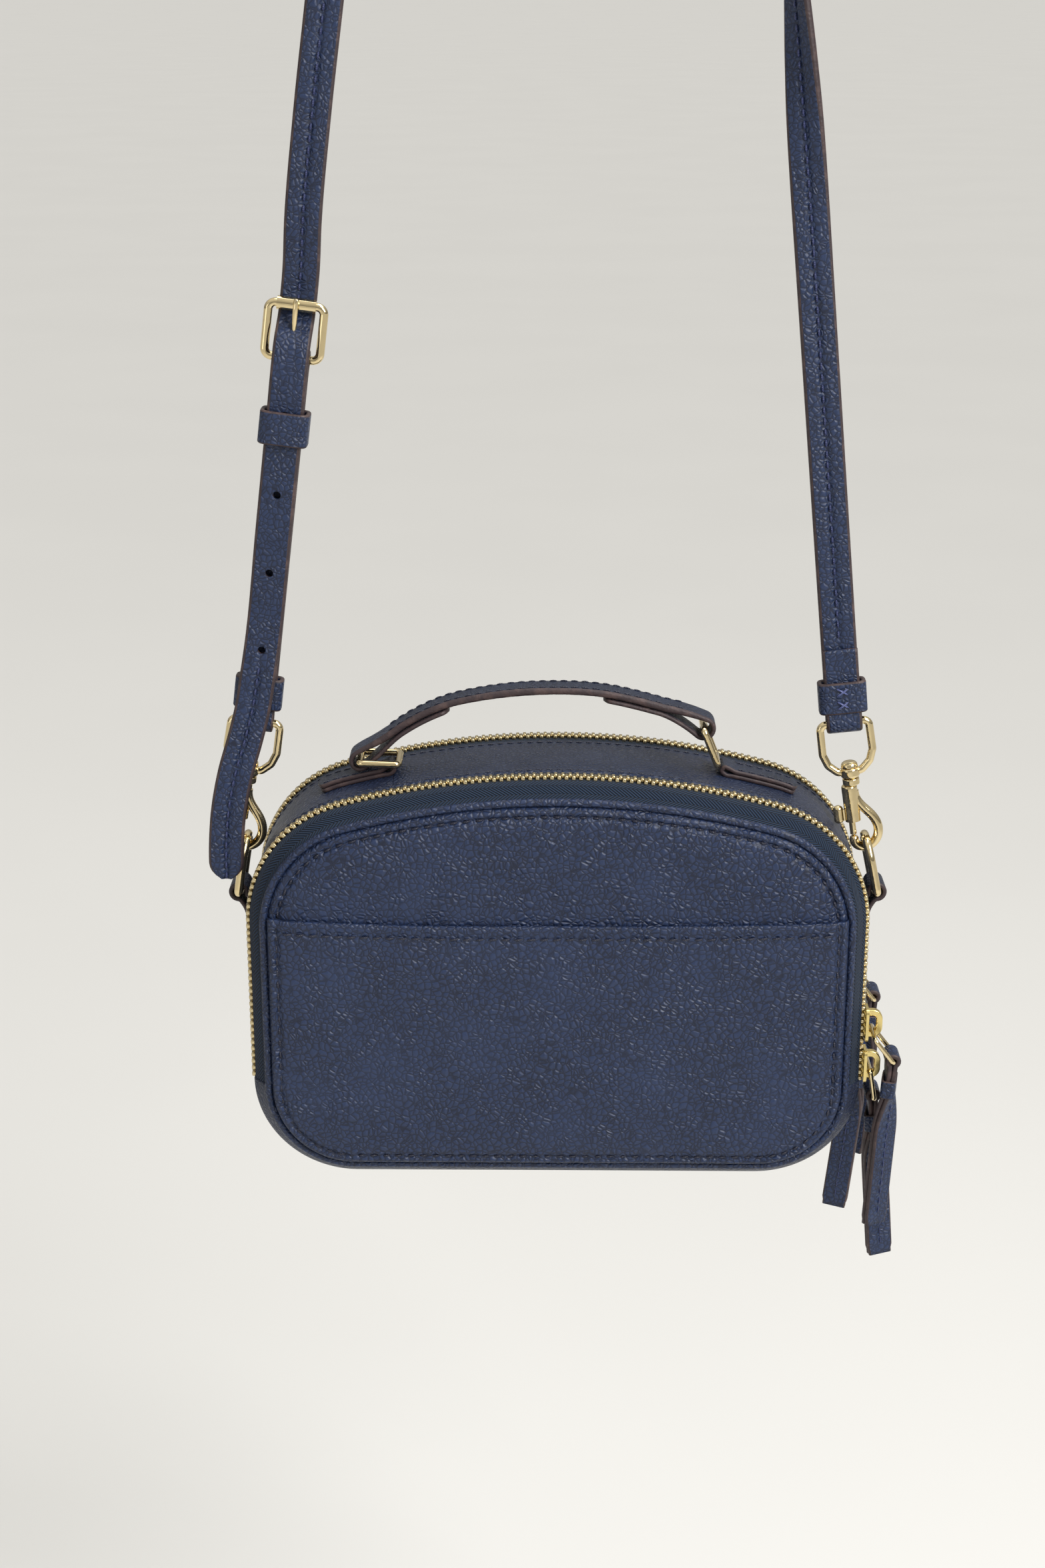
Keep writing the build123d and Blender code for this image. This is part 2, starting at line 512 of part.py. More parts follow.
def make_clip(name, place):
    """Swivel snap: the eye in the strap's fold, the hook on its post and the sliding trigger."""
    half = EYE_CC / 2
    boss_z = -EYE_DROP
    side = [(half, 0), (half + 0.2, -10.6), (half - 1.2, -14.6), (4.0, boss_z + 0.2)]
    corners = [(-x, z) for x, z in side[:1]] + side + [(-x, z) for x, z in side[:0:-1]]
    path = FilletPolyline(*[(x, 0, z) for x, z in corners], radius=2.2, close=True)
    start = Plane(origin=(0, 0, 0), z_dir=(1, 0, 0))
    eye = sweep(start * Circle(EYE_WIRE_R), path=path)
    boss = Pos(0, 0, boss_z) * Cylinder(3.3, 3.8)
    boss = fillet(boss.edges(), 1.1)
    eye = eye + boss - Pos(0, 0, boss_z) * Cylinder(POST_R + RUN_CLEAR, 12)
    keep(f"clip_eye_{name}", place * eye)

    head_z = boss_z + 1.9 + 0.15
    post = Pos(0, 0, (head_z + BARREL_TOP) / 2) * Cylinder(POST_R, head_z - BARREL_TOP)
    head = Pos(0, 0, head_z + 0.9) * Cylinder(2.9, 1.8)
    head = fillet(head.edges().sort_by(Axis.Z)[-1:], 1.6)
    collar_h = boss_z - 1.9 - 0.15 - BARREL_TOP
    collar = Pos(0, 0, BARREL_TOP + collar_h / 2) * Cylinder(2.9, collar_h)
    collar = fillet(collar.edges(), 0.5)
    barrel_l = BARREL_TOP - BARREL_END
    barrel = Pos(BARREL_X, 0, BARREL_TOP - barrel_l / 2) * Cylinder(BARREL_R, barrel_l)
    barrel = fillet(barrel.edges().sort_by(Axis.Z)[-1:], 0.9)
    bow = Spline((0.6, 0, -24.6), (2.2, 0, -30.0), (5.6, 0, -34.4), (7.3, 0, -39.0), (6.1, 0, -43.4),
                 (BOW_LOW[0], 0, BOW_LOW[1]), (-0.6, 0, -44.4), (PIN_X, 0, -42.3))
    arm = sweep(Plane(origin=bow @ 0, z_dir=bow % 0) * Circle(HOOK_R), path=bow)
    tip = Pos(*(bow @ 1)) * Sphere(HOOK_R)
    hook = post + head + collar + barrel + arm + tip
    channel_top = PIN_TOP + TRIGGER_TRAVEL + 2.0
    channel = Pos(PIN_X, 0, (channel_top + BARREL_END) / 2 - 1) * Cylinder(PIN_R + 0.12,
                                                                          channel_top - BARREL_END + 2)
    slot = slab(-6, PIN_X, -0.75, 0.75, BARREL_END - 1, PIN_TOP + TRIGGER_TRAVEL + 0.4)
    stop = slab(-5, 3, -3, 3, BARREL_END - 0.1, PIN_END + 0.1)
    hook = hook - channel - slot
    hook -= Pos(PIN_X, 0, (BARREL_END + PIN_END) / 2) * Cylinder(PIN_R + 0.12, BARREL_END - PIN_END) & stop
    hook -= slab(PIN_X - 3, PIN_X + 1.9, -3, 3, PIN_END - 0.15, PIN_END + 2.5)
    keep(f"clip_hook_{name}", place * hook)

    pin = Pos(PIN_X, 0, (PIN_TOP + PIN_END) / 2) * Cylinder(PIN_R, PIN_TOP - PIN_END)
    stem = slab(-5.2, PIN_X, -0.6, 0.6, BARREL_END + 0.4, PIN_TOP)
    knob = Pos(-5.6, 0, (BARREL_END + 0.4 + PIN_TOP) / 2 + 0.4) * Cylinder(1.7, 6.4)
    knob = fillet(knob.edges(), 1.4)
    keep(f"clip_trigger_{name}", place * (pin + stem + knob))



def make_side(sign, name, place):
    """D-ring hanging in a clip, and the leather tab that joins it to the side of the bag."""
    top_local = Location((BOW_LOW[0], 0, BOW_LOW[1] + HOOK_R + SIDE_RING_R + SIDE_RING_PLAY))
    top = (place * top_local).position
    bar_x = sign * SIDE_BAR_X
    lean = asin((bar_x - top.X) / SIDE_RING_CC)
    bar_z = top.Z - SIDE_RING_CC * cos(lean)
    half = SIDE_RING_W / 2
    round_c = SIDE_RING_CC - half
    path = Wire([Line((0, -half + 2, 0), (0, half - 2, 0)), ThreePointArc((0, half - 2, 0),
                (0, half - 2 + 2 * sin(radians(45)), 2 - 2 * cos(radians(45))), (0, half, 2)),
                 Line((0, half, 2), (0, half, round_c)),
                 ThreePointArc((0, half, round_c), (0, 0, SIDE_RING_CC), (0, -half, round_c)),
                 Line((0, -half, round_c), (0, -half, 2)),
                 ThreePointArc((0, -half, 2), (0, -half + 2 - 2 * sin(radians(45)),
                                             2 - 2 * cos(radians(45))), (0, -half + 2, 0))])
    start = Plane(origin=(0, 0, 0), z_dir=(0, 1, 0))
    ring = sweep(start * Circle(SIDE_RING_R), path=path)
    keep(f"side_ring_{name}", Pos(bar_x, 0, bar_z) * Rot(0, -degrees(lean), 0) * ring)
    strip_x = BAG_WIDTH / 2 + 0.03
    inner = SIDE_RING_R + 0.35
    outer = inner + 1.7
    wall = sorted((sign * strip_x, sign * (strip_x + TAB_T)))
    tab = slab(*wall, -SIDE_TAB_W / 2, SIDE_TAB_W / 2, bar_z - SIDE_TAB_L, bar_z - 1.0)
    tab = fillet(tab.edges().filter_by(Axis.X).sort_by(Axis.Z)[:2], 4.0)
    tab += Pos(bar_x, 0, bar_z) * Rot(90, 0, 0) * Cylinder(outer, SIDE_TAB_W)
    tab -= Pos(bar_x, 0, bar_z) * Rot(90, 0, 0) * Cylinder(inner, 2 * SIDE_TAB_W)
    keep(f"side_tab_{name}", tab)
    return (bar_x, bar_z), lean


# ---------------------------------------------------------------- build and write
make_shell()
make_panel(-1, "front", FRONT_INSET, True)
make_panel(1, "rear", REAR_INSET, False)
PULLS = {"upper": (UPPER_SLIDER_Z, 38, -3, -1), "lower": (LOWER_SLIDER_Z, 10, 5, 1)}
REAR_TILT = {"upper": -4, "lower": -6}
pivots = {}
for side, zip_name in ((-1, "front"), (1, "rear")):
    make_zip(side, f"{zip_name}_zip")
    for which, (height, ring_tilt, pull_tilt, inward) in PULLS.items():
        slider = f"{zip_name}_slider_{which}"
        make_slider(side, slider, height)
        tilt = pull_tilt if side < 0 else REAR_TILT[which]
        pivots[slider] = make_pull(side, slider, height, ring_tilt, tilt, inward)
handle_pivots = make_handle()
make_strap()
make_buckle()
make_clip("right", RIGHT_CLIP)
make_clip("left", LEFT_CLIP)
side_pivots = {"right": make_side(1, "right", RIGHT_CLIP), "left": make_side(-1, "left", LEFT_CLIP)}

os.makedirs("parts", exist_ok=True)
for node, shape in PARTS.items():
    export_step(Pos(0, 0, -HANG_HEIGHT) * shape, f"parts/{node}.step")
print(len(PARTS), "nodes written")
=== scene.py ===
# %% [markdown]
# # A small crossbody purse
#
# The purse is a shell of pebbled navy leather with two zips, a top handle on wire rings and a
# long shoulder strap. Its hard parts come from a imported CAD model, which is loaded as a fixed
# frame. Everything soft is made here again as smooth surfaces, and most of it rides on the frame's bodies.

import bpy
import numpy as np
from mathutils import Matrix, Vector


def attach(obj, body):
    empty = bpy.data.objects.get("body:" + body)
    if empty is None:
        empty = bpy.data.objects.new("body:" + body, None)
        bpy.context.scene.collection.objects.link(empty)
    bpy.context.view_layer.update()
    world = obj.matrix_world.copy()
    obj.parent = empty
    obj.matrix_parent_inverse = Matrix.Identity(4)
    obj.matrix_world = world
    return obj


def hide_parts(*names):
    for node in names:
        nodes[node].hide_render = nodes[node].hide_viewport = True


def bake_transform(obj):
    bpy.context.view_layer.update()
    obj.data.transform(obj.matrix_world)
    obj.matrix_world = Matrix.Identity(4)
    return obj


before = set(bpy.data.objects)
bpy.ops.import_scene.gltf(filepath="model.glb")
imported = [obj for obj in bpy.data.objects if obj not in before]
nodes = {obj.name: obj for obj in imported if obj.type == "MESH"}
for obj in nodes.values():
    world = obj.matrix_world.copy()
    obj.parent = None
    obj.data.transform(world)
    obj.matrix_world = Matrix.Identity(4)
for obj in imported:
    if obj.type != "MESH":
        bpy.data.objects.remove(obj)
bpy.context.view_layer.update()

# %% [markdown]
# ## Sizes
#
# A bag maker thinks in millimetres from the table the bag stands on, so every shape here is
# worked out that way: x across, y from front to back, z up from the base. The frame's origin is
# the top of the hanging strap, so `to_frame` lowers points by the hanging height and scales them.

# %% Sizes of the bag in millimetres
HANG = 700.0
WIDE, TALL = 209.0, 144.7
ARCH = np.radians(15.5)
CORNER, BASE_CORNER = 43.0, 35.0
CORNER_X = WIDE / 2 - CORNER
ARCH_R = CORNER + CORNER_X / np.sin(ARCH)
ARCH_Z = TALL - ARCH_R
CORNER_Z = ARCH_Z + (ARCH_R - CORNER) * np.cos(ARCH)
BASE_X = WIDE / 2 - BASE_CORNER
SEAM = 34.0                      # the zips end here and the base leather begins
WELT_Y, WELT_R = 31.0, 1.25
CHAIN_Y = 22.0
INSET = {"front": 5.5, "rear": 4.0}
SIDE = {"front": -1.0, "rear": 1.0}
BULGE = 4.0


def to_frame(points):
    """Millimetres in the bag's own axes to metres in the frame: (p - hanging height) / 1000."""
    return (np.asarray(points, float) - (0, 0, HANG)) / 1000


# %% [markdown]
# ## From arrays to meshes
#
# Every new piece is a grid of points with two parameters, such as along and around. One helper
# turns such a grid into a mesh. It works out all faces from the grid's numbering at once,
# closes the grid where it wraps, and fills open ends with one flat face.

# %% Grid to mesh
def cells(rows, cols, wrap_rows, wrap_cols):
    """Corner numbers of all quads of a rows x cols grid: (i, j), (i+1, j), (i+1, j+1), (i, j+1)."""
    i = np.arange(rows if wrap_rows else rows - 1)[:, None]
    j = np.arange(cols if wrap_cols else cols - 1)[None, :]
    a, b = i % rows, (i + 1) % rows
    c, d = j % cols, (j + 1) % cols
    quads = np.stack(np.broadcast_arrays(a * cols + c, b * cols + c, b * cols + d, a * cols + d), -1)
    return quads.reshape(-1, 4)


def build(name, points, faces, marks=None, smooth=True):
    """Mesh object from points in millimetres and lists of corner numbers; marks are point values."""
    mesh = bpy.data.meshes.new(name)
    mesh.from_pydata(to_frame(points).tolist(), [], [list(f) for f in faces])
    for label, values in (marks or {}).items():
        layer = mesh.attributes.new(label, "FLOAT", "POINT")
        layer.data.foreach_set("value", np.asarray(values, np.float32).ravel())
    mesh.polygons.foreach_set("use_smooth", np.full(len(mesh.polygons), smooth))
    mesh.update()
    obj = bpy.data.objects.new(name, mesh)
    bpy.context.scene.collection.objects.link(obj)
    return obj


def grid_piece(name, grid, wrap_rows=False, wrap_cols=True, caps=True, marks=None, turn=False):
    """Mesh from a grid (rows, cols, 3). Open ends of a tube are closed by one face each."""
    rows, cols, _ = grid.shape
    faces = cells(rows, cols, wrap_rows, wrap_cols).tolist()
    if caps and not wrap_rows and wrap_cols:
        faces.append(list(range(cols)))
        faces.append([(rows - 1) * cols + k for k in range(cols)][::-1])
    if turn:
        faces = [f[::-1] for f in faces]
    return build(name, grid.reshape(-1, 3), faces, marks)


def face_out(obj):
    """Turns every face of a closed piece outwards."""
    import bmesh
    work = bmesh.new()
    work.from_mesh(obj.data)
    bmesh.ops.recalc_face_normals(work, faces=work.faces)
    work.to_mesh(obj.data)
    work.free()
    return obj


# %% [markdown]
# ## Leather bands
#
# Straps, tabs, the handle and the pulls are all bands of leather with a flat face and a painted
# edge. A band is a rounded rectangle carried along a path. The face gets an optional groove down
# its middle where a line of sewing pulls the leather in.

# %% A rounded rectangle and its path
def travel(points):
    """Distance along a line at each of its points: the running sum of the steps between them."""
    return np.concatenate([[0], np.cumsum(np.linalg.norm(np.diff(points, axis=0), axis=1))])


def at_distance(line, t, s):
    """Points of a line at the distances s, where t holds the distance at each of its points."""
    return np.stack([np.interp(s, t, line[:, k]) for k in range(line.shape[1])], 1)


def even_out(values, reach):
    """Running mean over reach values to either side, with the end values held."""
    span = 2 * reach + 1
    return np.convolve(np.pad(values, reach, mode="edge"), np.ones(span) / span, "valid")


def blunt(v, power):
    """sign(v) |v|^power: with a cosine and a sine it rounds a circle out towards a rectangle."""
    return np.sign(v) * np.abs(v) ** power


def smooth_run(points, step=1.5):
    """Smooth line through points (n, k): a cubic in each span whose slopes are central differences."""
    p = np.asarray(points, float)
    t = travel(p[:, :3])
    slope = np.gradient(p, t, axis=0)
    s = np.linspace(0, t[-1], max(int(t[-1] / step), 8))
    i = np.clip(np.searchsorted(t, s, side="right") - 1, 0, len(t) - 2)
    h = (t[i + 1] - t[i])[:, None]
    u = ((s - t[i]) / (t[i + 1] - t[i]))[:, None]
    return ((2 * u**3 - 3 * u**2 + 1) * p[i] + (u**3 - 2 * u**2 + u) * h * slope[i]
            + (3 * u**2 - 2 * u**3) * p[i + 1] + (u**3 - u**2) * h * slope[i + 1])


def unit(v):
    """Vectors divided by their lengths."""
    return v / np.maximum(np.linalg.norm(v, axis=-1, keepdims=True), 1e-9)


def band_section(width, thick, flat=19, turn=7):
    """Rounded rectangle as (x, y, edge): flat faces joined by half rounds of the corner radius."""
    r = thick * 0.42
    x = np.linspace(-(width / 2 - r), width / 2 - r, flat)
    a = np.radians(np.linspace(-90, 90, turn + 2)[1:-1])
    y = (thick / 2 - r) * np.sign(np.sin(a)) + r * np.sin(a)
    side = width / 2 - r + r * np.cos(a)
    top = np.stack([x, np.full(flat, -thick / 2), np.zeros(flat)], 1)
    right = np.stack([side, y, np.ones(turn)], 1)
    back = np.stack([x[::-1], np.full(flat, thick / 2), np.zeros(flat)], 1)
    left = np.stack([-side, -y, np.ones(turn)], 1)
    return np.concatenate([top, right, back, left])


def lay_band(name, path, across, width, thick, groove=None, closed=False, ends=0.0):
    """Band: point + across * x + through * y, where through is at right angles to path and across.

    groove is the depth of the sewn groove at each path point; ends are the lengths rounded off.
    """
    path = np.asarray(path, float)
    n = len(path)
    if closed:
        run = unit(np.roll(path, -1, 0) - np.roll(path, 1, 0))
    else:
        run = unit(np.gradient(path, axis=0))
    across = np.broadcast_to(np.asarray(across, float), path.shape)
    across = unit(across - run * (across * run).sum(1, keepdims=True))
    through = np.cross(run, across)
    cut = band_section(float(np.max(width)), float(np.max(thick)))
    x = cut[None, :, 0] * (np.broadcast_to(width, n) / np.max(width))[:, None]
    y = cut[None, :, 1] * (np.broadcast_to(thick, n) / np.max(thick))[:, None]
    along = travel(path)
    for size, left in zip(np.broadcast_to(ends, 2), (along, along[-1] - along)):
        if size:
            reach = np.clip(left / size, 0, 1)
            x = x * np.sqrt(np.clip(1 - (1 - reach) ** 2, 0.10, 1))[:, None]
    if groove is not None:
        dip = np.broadcast_to(groove, n)[:, None] * np.exp(-(x / 1.15) ** 2)
        y = y - np.sign(y) * dip * (cut[None, :, 2] < 0.5)
    grid = path[:, None] + across[:, None] * x[..., None] + through[:, None] * y[..., None]
    marks = {"edge": np.broadcast_to(cut[None, :, 2], x.shape),
             "along": np.broadcast_to(along[:, None], x.shape), "across": x}
    piece = grid_piece(name, grid, wrap_rows=closed, marks=marks)
    return face_out(piece), (path, run, across, through, along)


def tube(name, path, radius, closed=True, around=12):
    """Round cord: path + radius * (cos a * first normal + sin a * second normal)."""
    path = np.asarray(path, float)
    step = np.roll(path, -1, 0) - np.roll(path, 1, 0) if closed else np.gradient(path, axis=0)
    run = unit(step)
    first = unit(np.cross(run, (0, 1, 0)) + 1e-6)
    second = np.cross(run, first)
    a = np.linspace(0, 2 * np.pi, around, endpoint=False)[None, :, None]
    grid = path[:, None] + radius * (np.cos(a) * first[:, None] + np.sin(a) * second[:, None])
    return face_out(grid_piece(name, grid, wrap_rows=closed))


# %% [markdown]
# ## Sewing
#
# Each stitch is a short fat thread that dives into the leather at both ends. One small capsule
# is worked out once, and then turned and placed along a line for every stitch at the same time.

# %% Stitches
def capsule(length, thick, around=6, rings=5):
    """Thread along x: radius * sqrt(1 - t^4) at t from -1 to 1, bowed up in the middle."""
    t = np.linspace(-1, 1, rings)
    t = np.sin(t * np.pi / 2)
    a = np.linspace(0, 2 * np.pi, around, endpoint=False)
    r = thick / 2 * np.sqrt(np.clip(1 - t**4, 0.02, 1))
    x = t * length / 2
    lift = thick * 0.35 * (1 - t**2)
    grid = np.stack(np.broadcast_arrays(x[:, None], r[:, None] * np.cos(a)[None],
                                        lift[:, None] + r[:, None] * np.sin(a)[None]), -1)
    faces = cells(rings, around, False, True).tolist()
    faces += [list(range(around))[::-1], [(rings - 1) * around + k for k in range(around)]]
    return grid.reshape(-1, 3), faces


def copies(name, shape, faces, places, run, wide, up):
    """Many copies of one shape: place + x * run + y * wide + z * up; its last two faces are ends."""
    points = (places[:, None] + shape[None, :, :1] * run[:, None] + shape[None, :, 1:2] * wide[:, None]
              + shape[None, :, 2:] * up[:, None])
    offset = (np.arange(len(places)) * len(shape))[:, None, None]
    quads = (np.asarray(faces[:-2])[None] + offset).reshape(-1, 4).tolist()
    ends = (np.asarray(faces[-2:])[None] + offset).reshape(-1, len(faces[-1])).tolist()
    return face_out(build(name, points.reshape(-1, 3), quads + ends))


def paint(material, *pieces):
    """Gives each piece its finish."""
    for piece in pieces:
        piece.data.materials.append(material)


def sew(name, line, outward, pitch=4.3, length=3.3, thick=0.55, slant=0.0, skip=()):
    """Row of stitches every pitch along a line, each lying on the surface whose normal is outward."""
    line = np.asarray(line, float)
    outward = np.broadcast_to(np.asarray(outward, float), line.shape)
    t = travel(line)
    at = np.arange(pitch / 2, t[-1], pitch)
    at = at[~np.array([any(a <= s <= b for a, b in skip) for s in at], bool)]
    run = unit(at_distance(line, t, at + 0.4) - at_distance(line, t, at - 0.4))
    up = unit(at_distance(outward, t, at))
    wide = np.cross(up, run)
    if slant:
        run, wide = (run * np.cos(slant) + wide * np.sin(slant),
                     wide * np.cos(slant) - run * np.sin(slant))
    return copies(name, *capsule(length, thick), at_distance(line, t, at), run, wide, up)


# %% [markdown]
# ## Finishes
#
# Leather is a shader, not a picture. Pebbled grain is a Voronoi pattern read from the object's
# own coordinates: each cell is one pebble, and the distance to the cell's border becomes the
# valley between pebbles. A slow noise changes the size and depth of the grain, as a real hide
# does. The same nodes with other numbers give the finer leather of the band and strap.

# %% Shader helpers
def linear(hex_colour):
    """Colour as light: each channel of rrggbb through the sRGB curve."""
    c = np.array([int(hex_colour[k:k + 2], 16) for k in (0, 2, 4)]) / 255
    c = np.where(c <= 0.04045, c / 12.92, ((c + 0.055) / 1.055) ** 2.4)
    return (*c.tolist(), 1.0)


def dim(colour, share):
    """The same colour with its light multiplied by share."""
    return tuple(share * c for c in colour[:3]) + (1.0,)


class Finish:
    """A material with short ways to add nodes and join them."""

    def __init__(self, name):
        self.material = bpy.data.materials.new(name)
        self.material.use_nodes = True
        self.tree = self.material.node_tree
        self.shader = self.tree.nodes["Principled BSDF"]

    def node(self, kind, **settings):
        made = self.tree.nodes.new(kind)
        for key, value in settings.items():
            if key in made.inputs:
                made.inputs[key].default_value = value
            else:
                setattr(made, key, value)
        return made

    def join(self, source, target):
        self.tree.links.new(source, target)

    def math(self, operation, first, second=0.0):
        made = self.node("ShaderNodeMath", operation=operation)
        for k, value in enumerate((first, second)):
            if hasattr(value, "is_output"):
                self.join(value, made.inputs[k])
            else:
                made.inputs[k].default_value = value
        return made.outputs[0]

    def ramp(self, value, low, high, to_low=0.0, to_high=1.0):
        made = self.node("ShaderNodeMapRange", interpolation_type="SMOOTHSTEP")
        for k, number in enumerate((low, high, to_low, to_high)):
            made.inputs[k + 1].default_value = number
        self.join(value, made.inputs[0])
        return made.outputs[0]

    def mix(self, amount, first, second):
        made = self.node("ShaderNodeMix", data_type="RGBA")
        for socket, value in ((made.inputs[0], amount), (made.inputs[6], first), (made.inputs[7], second)):
            if hasattr(value, "is_output"):
                self.join(value, socket)
            else:
                socket.default_value = value
        return made.outputs[2]

    def value(self, **sockets):
        names = {"rough": "Roughness", "metal": "Metallic", "sheen": "Sheen Weight",
                 "sheen_rough": "Sheen Roughness", "specular": "Specular IOR Level"}
        for key, number in sockets.items():
            self.shader.inputs[names[key]].default_value = number

    def object_place(self):
        return self.node("ShaderNodeTexCoord").outputs["Object"]

    def noise(self, scale, detail=3.0):
        made = self.node("ShaderNodeTexNoise", Scale=scale, Detail=detail, Roughness=0.5)
        self.join(self.object_place(), made.inputs["Vector"])
        return made.outputs["Fac"]

    def bump(self, height, distance, strength=1.0):
        made = self.node("ShaderNodeBump", Strength=strength, Distance=distance)
        self.join(height, made.inputs["Height"])
        return made.outputs["Normal"]


# %% [markdown]
# ### Leather
#
# The colour darkens in the valleys and lightens a little on the pebbles' tops; the dark valleys are painted
# shade.
# Where a band has an edge, the `edge` value of its points swaps grain for smooth brown edge paint.

# %% Leather
NAVY = linear("1f2c49")
# The next colour is painted shade for the valleys of the grain.
NAVY_VALLEY_SHADE = linear("11182b")
NAVY_WORN = linear("2c3b5c")
EDGE_BROWN = linear("33282a")
EDGE_WORN = linear("4b3b39")


def leather(name, pebble, depth, rough, edge_paint=False, deep=NAVY_VALLEY_SHADE, base=NAVY, worn=NAVY_WORN):
    """Grained leather; pebble is the size of one grain in metres, depth that of its valleys, deep the
    painted shade in them.
    """
    f = Finish(name)
    place = f.object_place()
    wander = f.node("ShaderNodeTexNoise", Scale=0.30 / pebble, Detail=1.0)
    f.join(place, wander.inputs["Vector"])
    shift = f.node("ShaderNodeVectorMath", operation="SCALE", Scale=pebble * 1.6)
    f.join(wander.outputs["Color"], shift.inputs[0])
    moved = f.node("ShaderNodeVectorMath", operation="ADD")
    f.join(place, moved.inputs[0])
    f.join(shift.outputs[0], moved.inputs[1])
    grain = f.node("ShaderNodeTexVoronoi", feature="DISTANCE_TO_EDGE", Scale=1 / pebble)
    f.join(moved.outputs[0], grain.inputs["Vector"])
    valley = f.ramp(grain.outputs["Distance"], -0.05, 0.42)
    fine = f.noise(2.2 / pebble, 2.0)
    big = f.noise(22.0, 2.0)
    soften = f.ramp(f.noise(0.22 / pebble, 2.0), 0.30, 0.70, 0.35, 1.0)
    height = f.math("MULTIPLY", valley, soften)
    height = f.math("ADD", height, f.math("MULTIPLY", fine, 0.12))
    # Painted shade: the valleys between pebbles get the darker deep colour.
    colour = f.mix(f.ramp(grain.outputs["Distance"], 0.0, 0.16), deep, base)
    patch = f.ramp(f.noise(38.0, 2.0), 0.40, 0.85, 0.0, 0.25)
    colour = f.mix(patch, colour, worn)
    gloss = f.math("ADD", f.math("MULTIPLY", f.math("SUBTRACT", 1.0, valley), 0.10), rough)
    gloss = f.math("ADD", gloss, f.math("MULTIPLY", big, 0.08))
    if edge_paint:
        edge = f.node("ShaderNodeAttribute", attribute_name="edge").outputs["Fac"]
        on_edge = f.ramp(f.math("ADD", edge, f.math("MULTIPLY", f.noise(900.0), 0.12)), 0.30, 0.62)
        paint = f.mix(f.ramp(f.noise(260.0, 4.0), 0.45, 0.75), EDGE_BROWN, EDGE_WORN)
        colour = f.mix(on_edge, colour, paint)
        height = f.math("MULTIPLY", height, f.math("SUBTRACT", 1.0, f.math("MULTIPLY", on_edge, 0.8)))
        gloss = f.math("ADD", gloss, f.math("MULTIPLY", on_edge, 0.06))
    f.join(colour, f.shader.inputs["Base Color"])
    f.join(gloss, f.shader.inputs["Roughness"])
    f.join(f.bump(height, depth, 0.85), f.shader.inputs["Normal"])
    f.value(specular=0.38)
    return f.material


# In each leather, deep is the painted shade in the grain's valleys.
pebbled = leather("pebbled leather", 0.0019, 0.00060, 0.36)
band_leather = leather("band leather", 0.0017, 0.00048, 0.33, deep=linear("131a2d"), base=linear("1d263c"),
                       worn=linear("2a3550"))
strap_leather = leather("strap leather", 0.0017, 0.00048, 0.36, edge_paint=True)
tab_leather = leather("tab leather", 0.0014, 0.0003, 0.38, edge_paint=True, deep=linear("11151f"),
                      base=linear("1b2131"))
handle_leather = leather("handle leather", 0.0015, 0.0004, 0.38, edge_paint=True, deep=linear("111623"),
                         base=linear("1a2134"))
print("leathers ready")

# %% [markdown]
# ### Metal, thread, tape and lining
#
# The hardware is plated pale gold. Plating is metal colour with low roughness and a little
# waviness, because a mirror-smooth metal looks like plastic film. Zip tape is woven: two wave
# patterns set at opposite slants give its herringbone.

# %% Metal and textiles
def plated(name, colour, rough):
    """Plated metal: colour with fine scuffs in the gloss and faint unevenness."""
    f = Finish(name)
    tarnish = f.ramp(f.noise(160.0, 4.0), 0.40, 0.80, 0.0, 0.35)
    f.join(f.mix(tarnish, colour, dim(colour, 0.62)), f.shader.inputs["Base Color"])
    f.join(f.ramp(f.noise(700.0, 5.0), 0.3, 0.8, rough, rough + 0.09), f.shader.inputs["Roughness"])
    f.join(f.bump(f.noise(320.0, 2.0), 0.00004), f.shader.inputs["Normal"])
    f.value(metal=1.0)
    return f.material


gold = plated("pale gold plate", linear("dfcca0"), 0.05)
zip_gold = plated("zip gold", linear("cdbd96"), 0.26)
slider_gold = plated("satin slider gold", linear("dfca88"), 0.20)


def cloth(name, light, dark, pitch):
    """Woven cloth: crossed waves of one thread pitch, in the object's own axes."""
    f = Finish(name)
    place = f.object_place()
    waves = []
    for direction in "XZ":
        wave = f.node("ShaderNodeTexWave", Scale=0.314 / pitch, Distortion=0.4)
        wave.bands_direction = direction
        f.join(place, wave.inputs["Vector"])
        waves.append(wave.outputs["Fac"])
    weave = f.math("MAXIMUM", *waves)
    f.join(f.mix(weave, dark, light), f.shader.inputs["Base Color"])
    f.join(f.bump(weave, 0.0002), f.shader.inputs["Normal"])
    f.value(rough=0.75, sheen=0.15, sheen_rough=0.5)
    return f.material


def herringbone(name):
    """Zip tape: slanted waves that change side at each rib, from the piece's along and across."""
    f = Finish(name)
    along = f.node("ShaderNodeAttribute", attribute_name="along").outputs["Fac"]
    across = f.node("ShaderNodeAttribute", attribute_name="across").outputs["Fac"]
    fold = f.math("PINGPONG", across, 2.2)
    phase = f.math("MULTIPLY", f.math("ADD", along, f.math("MULTIPLY", fold, 1.9)), 6.2832 / 1.35)
    rib = f.math("ADD", f.math("MULTIPLY", f.math("SINE", phase), 0.5), 0.5)
    valley = f.ramp(f.math("ABSOLUTE", f.math("SUBTRACT", fold, 1.1)), 0.85, 1.1, 1.0, 0.5)
    height = f.math("MULTIPLY", rib, valley)
    f.join(f.mix(height, linear("080d18"), linear("22364f")), f.shader.inputs["Base Color"])
    f.join(f.bump(height, 0.0005), f.shader.inputs["Normal"])
    f.value(rough=0.7, specular=0.25, sheen=0.03, sheen_rough=0.4)
    return f.material


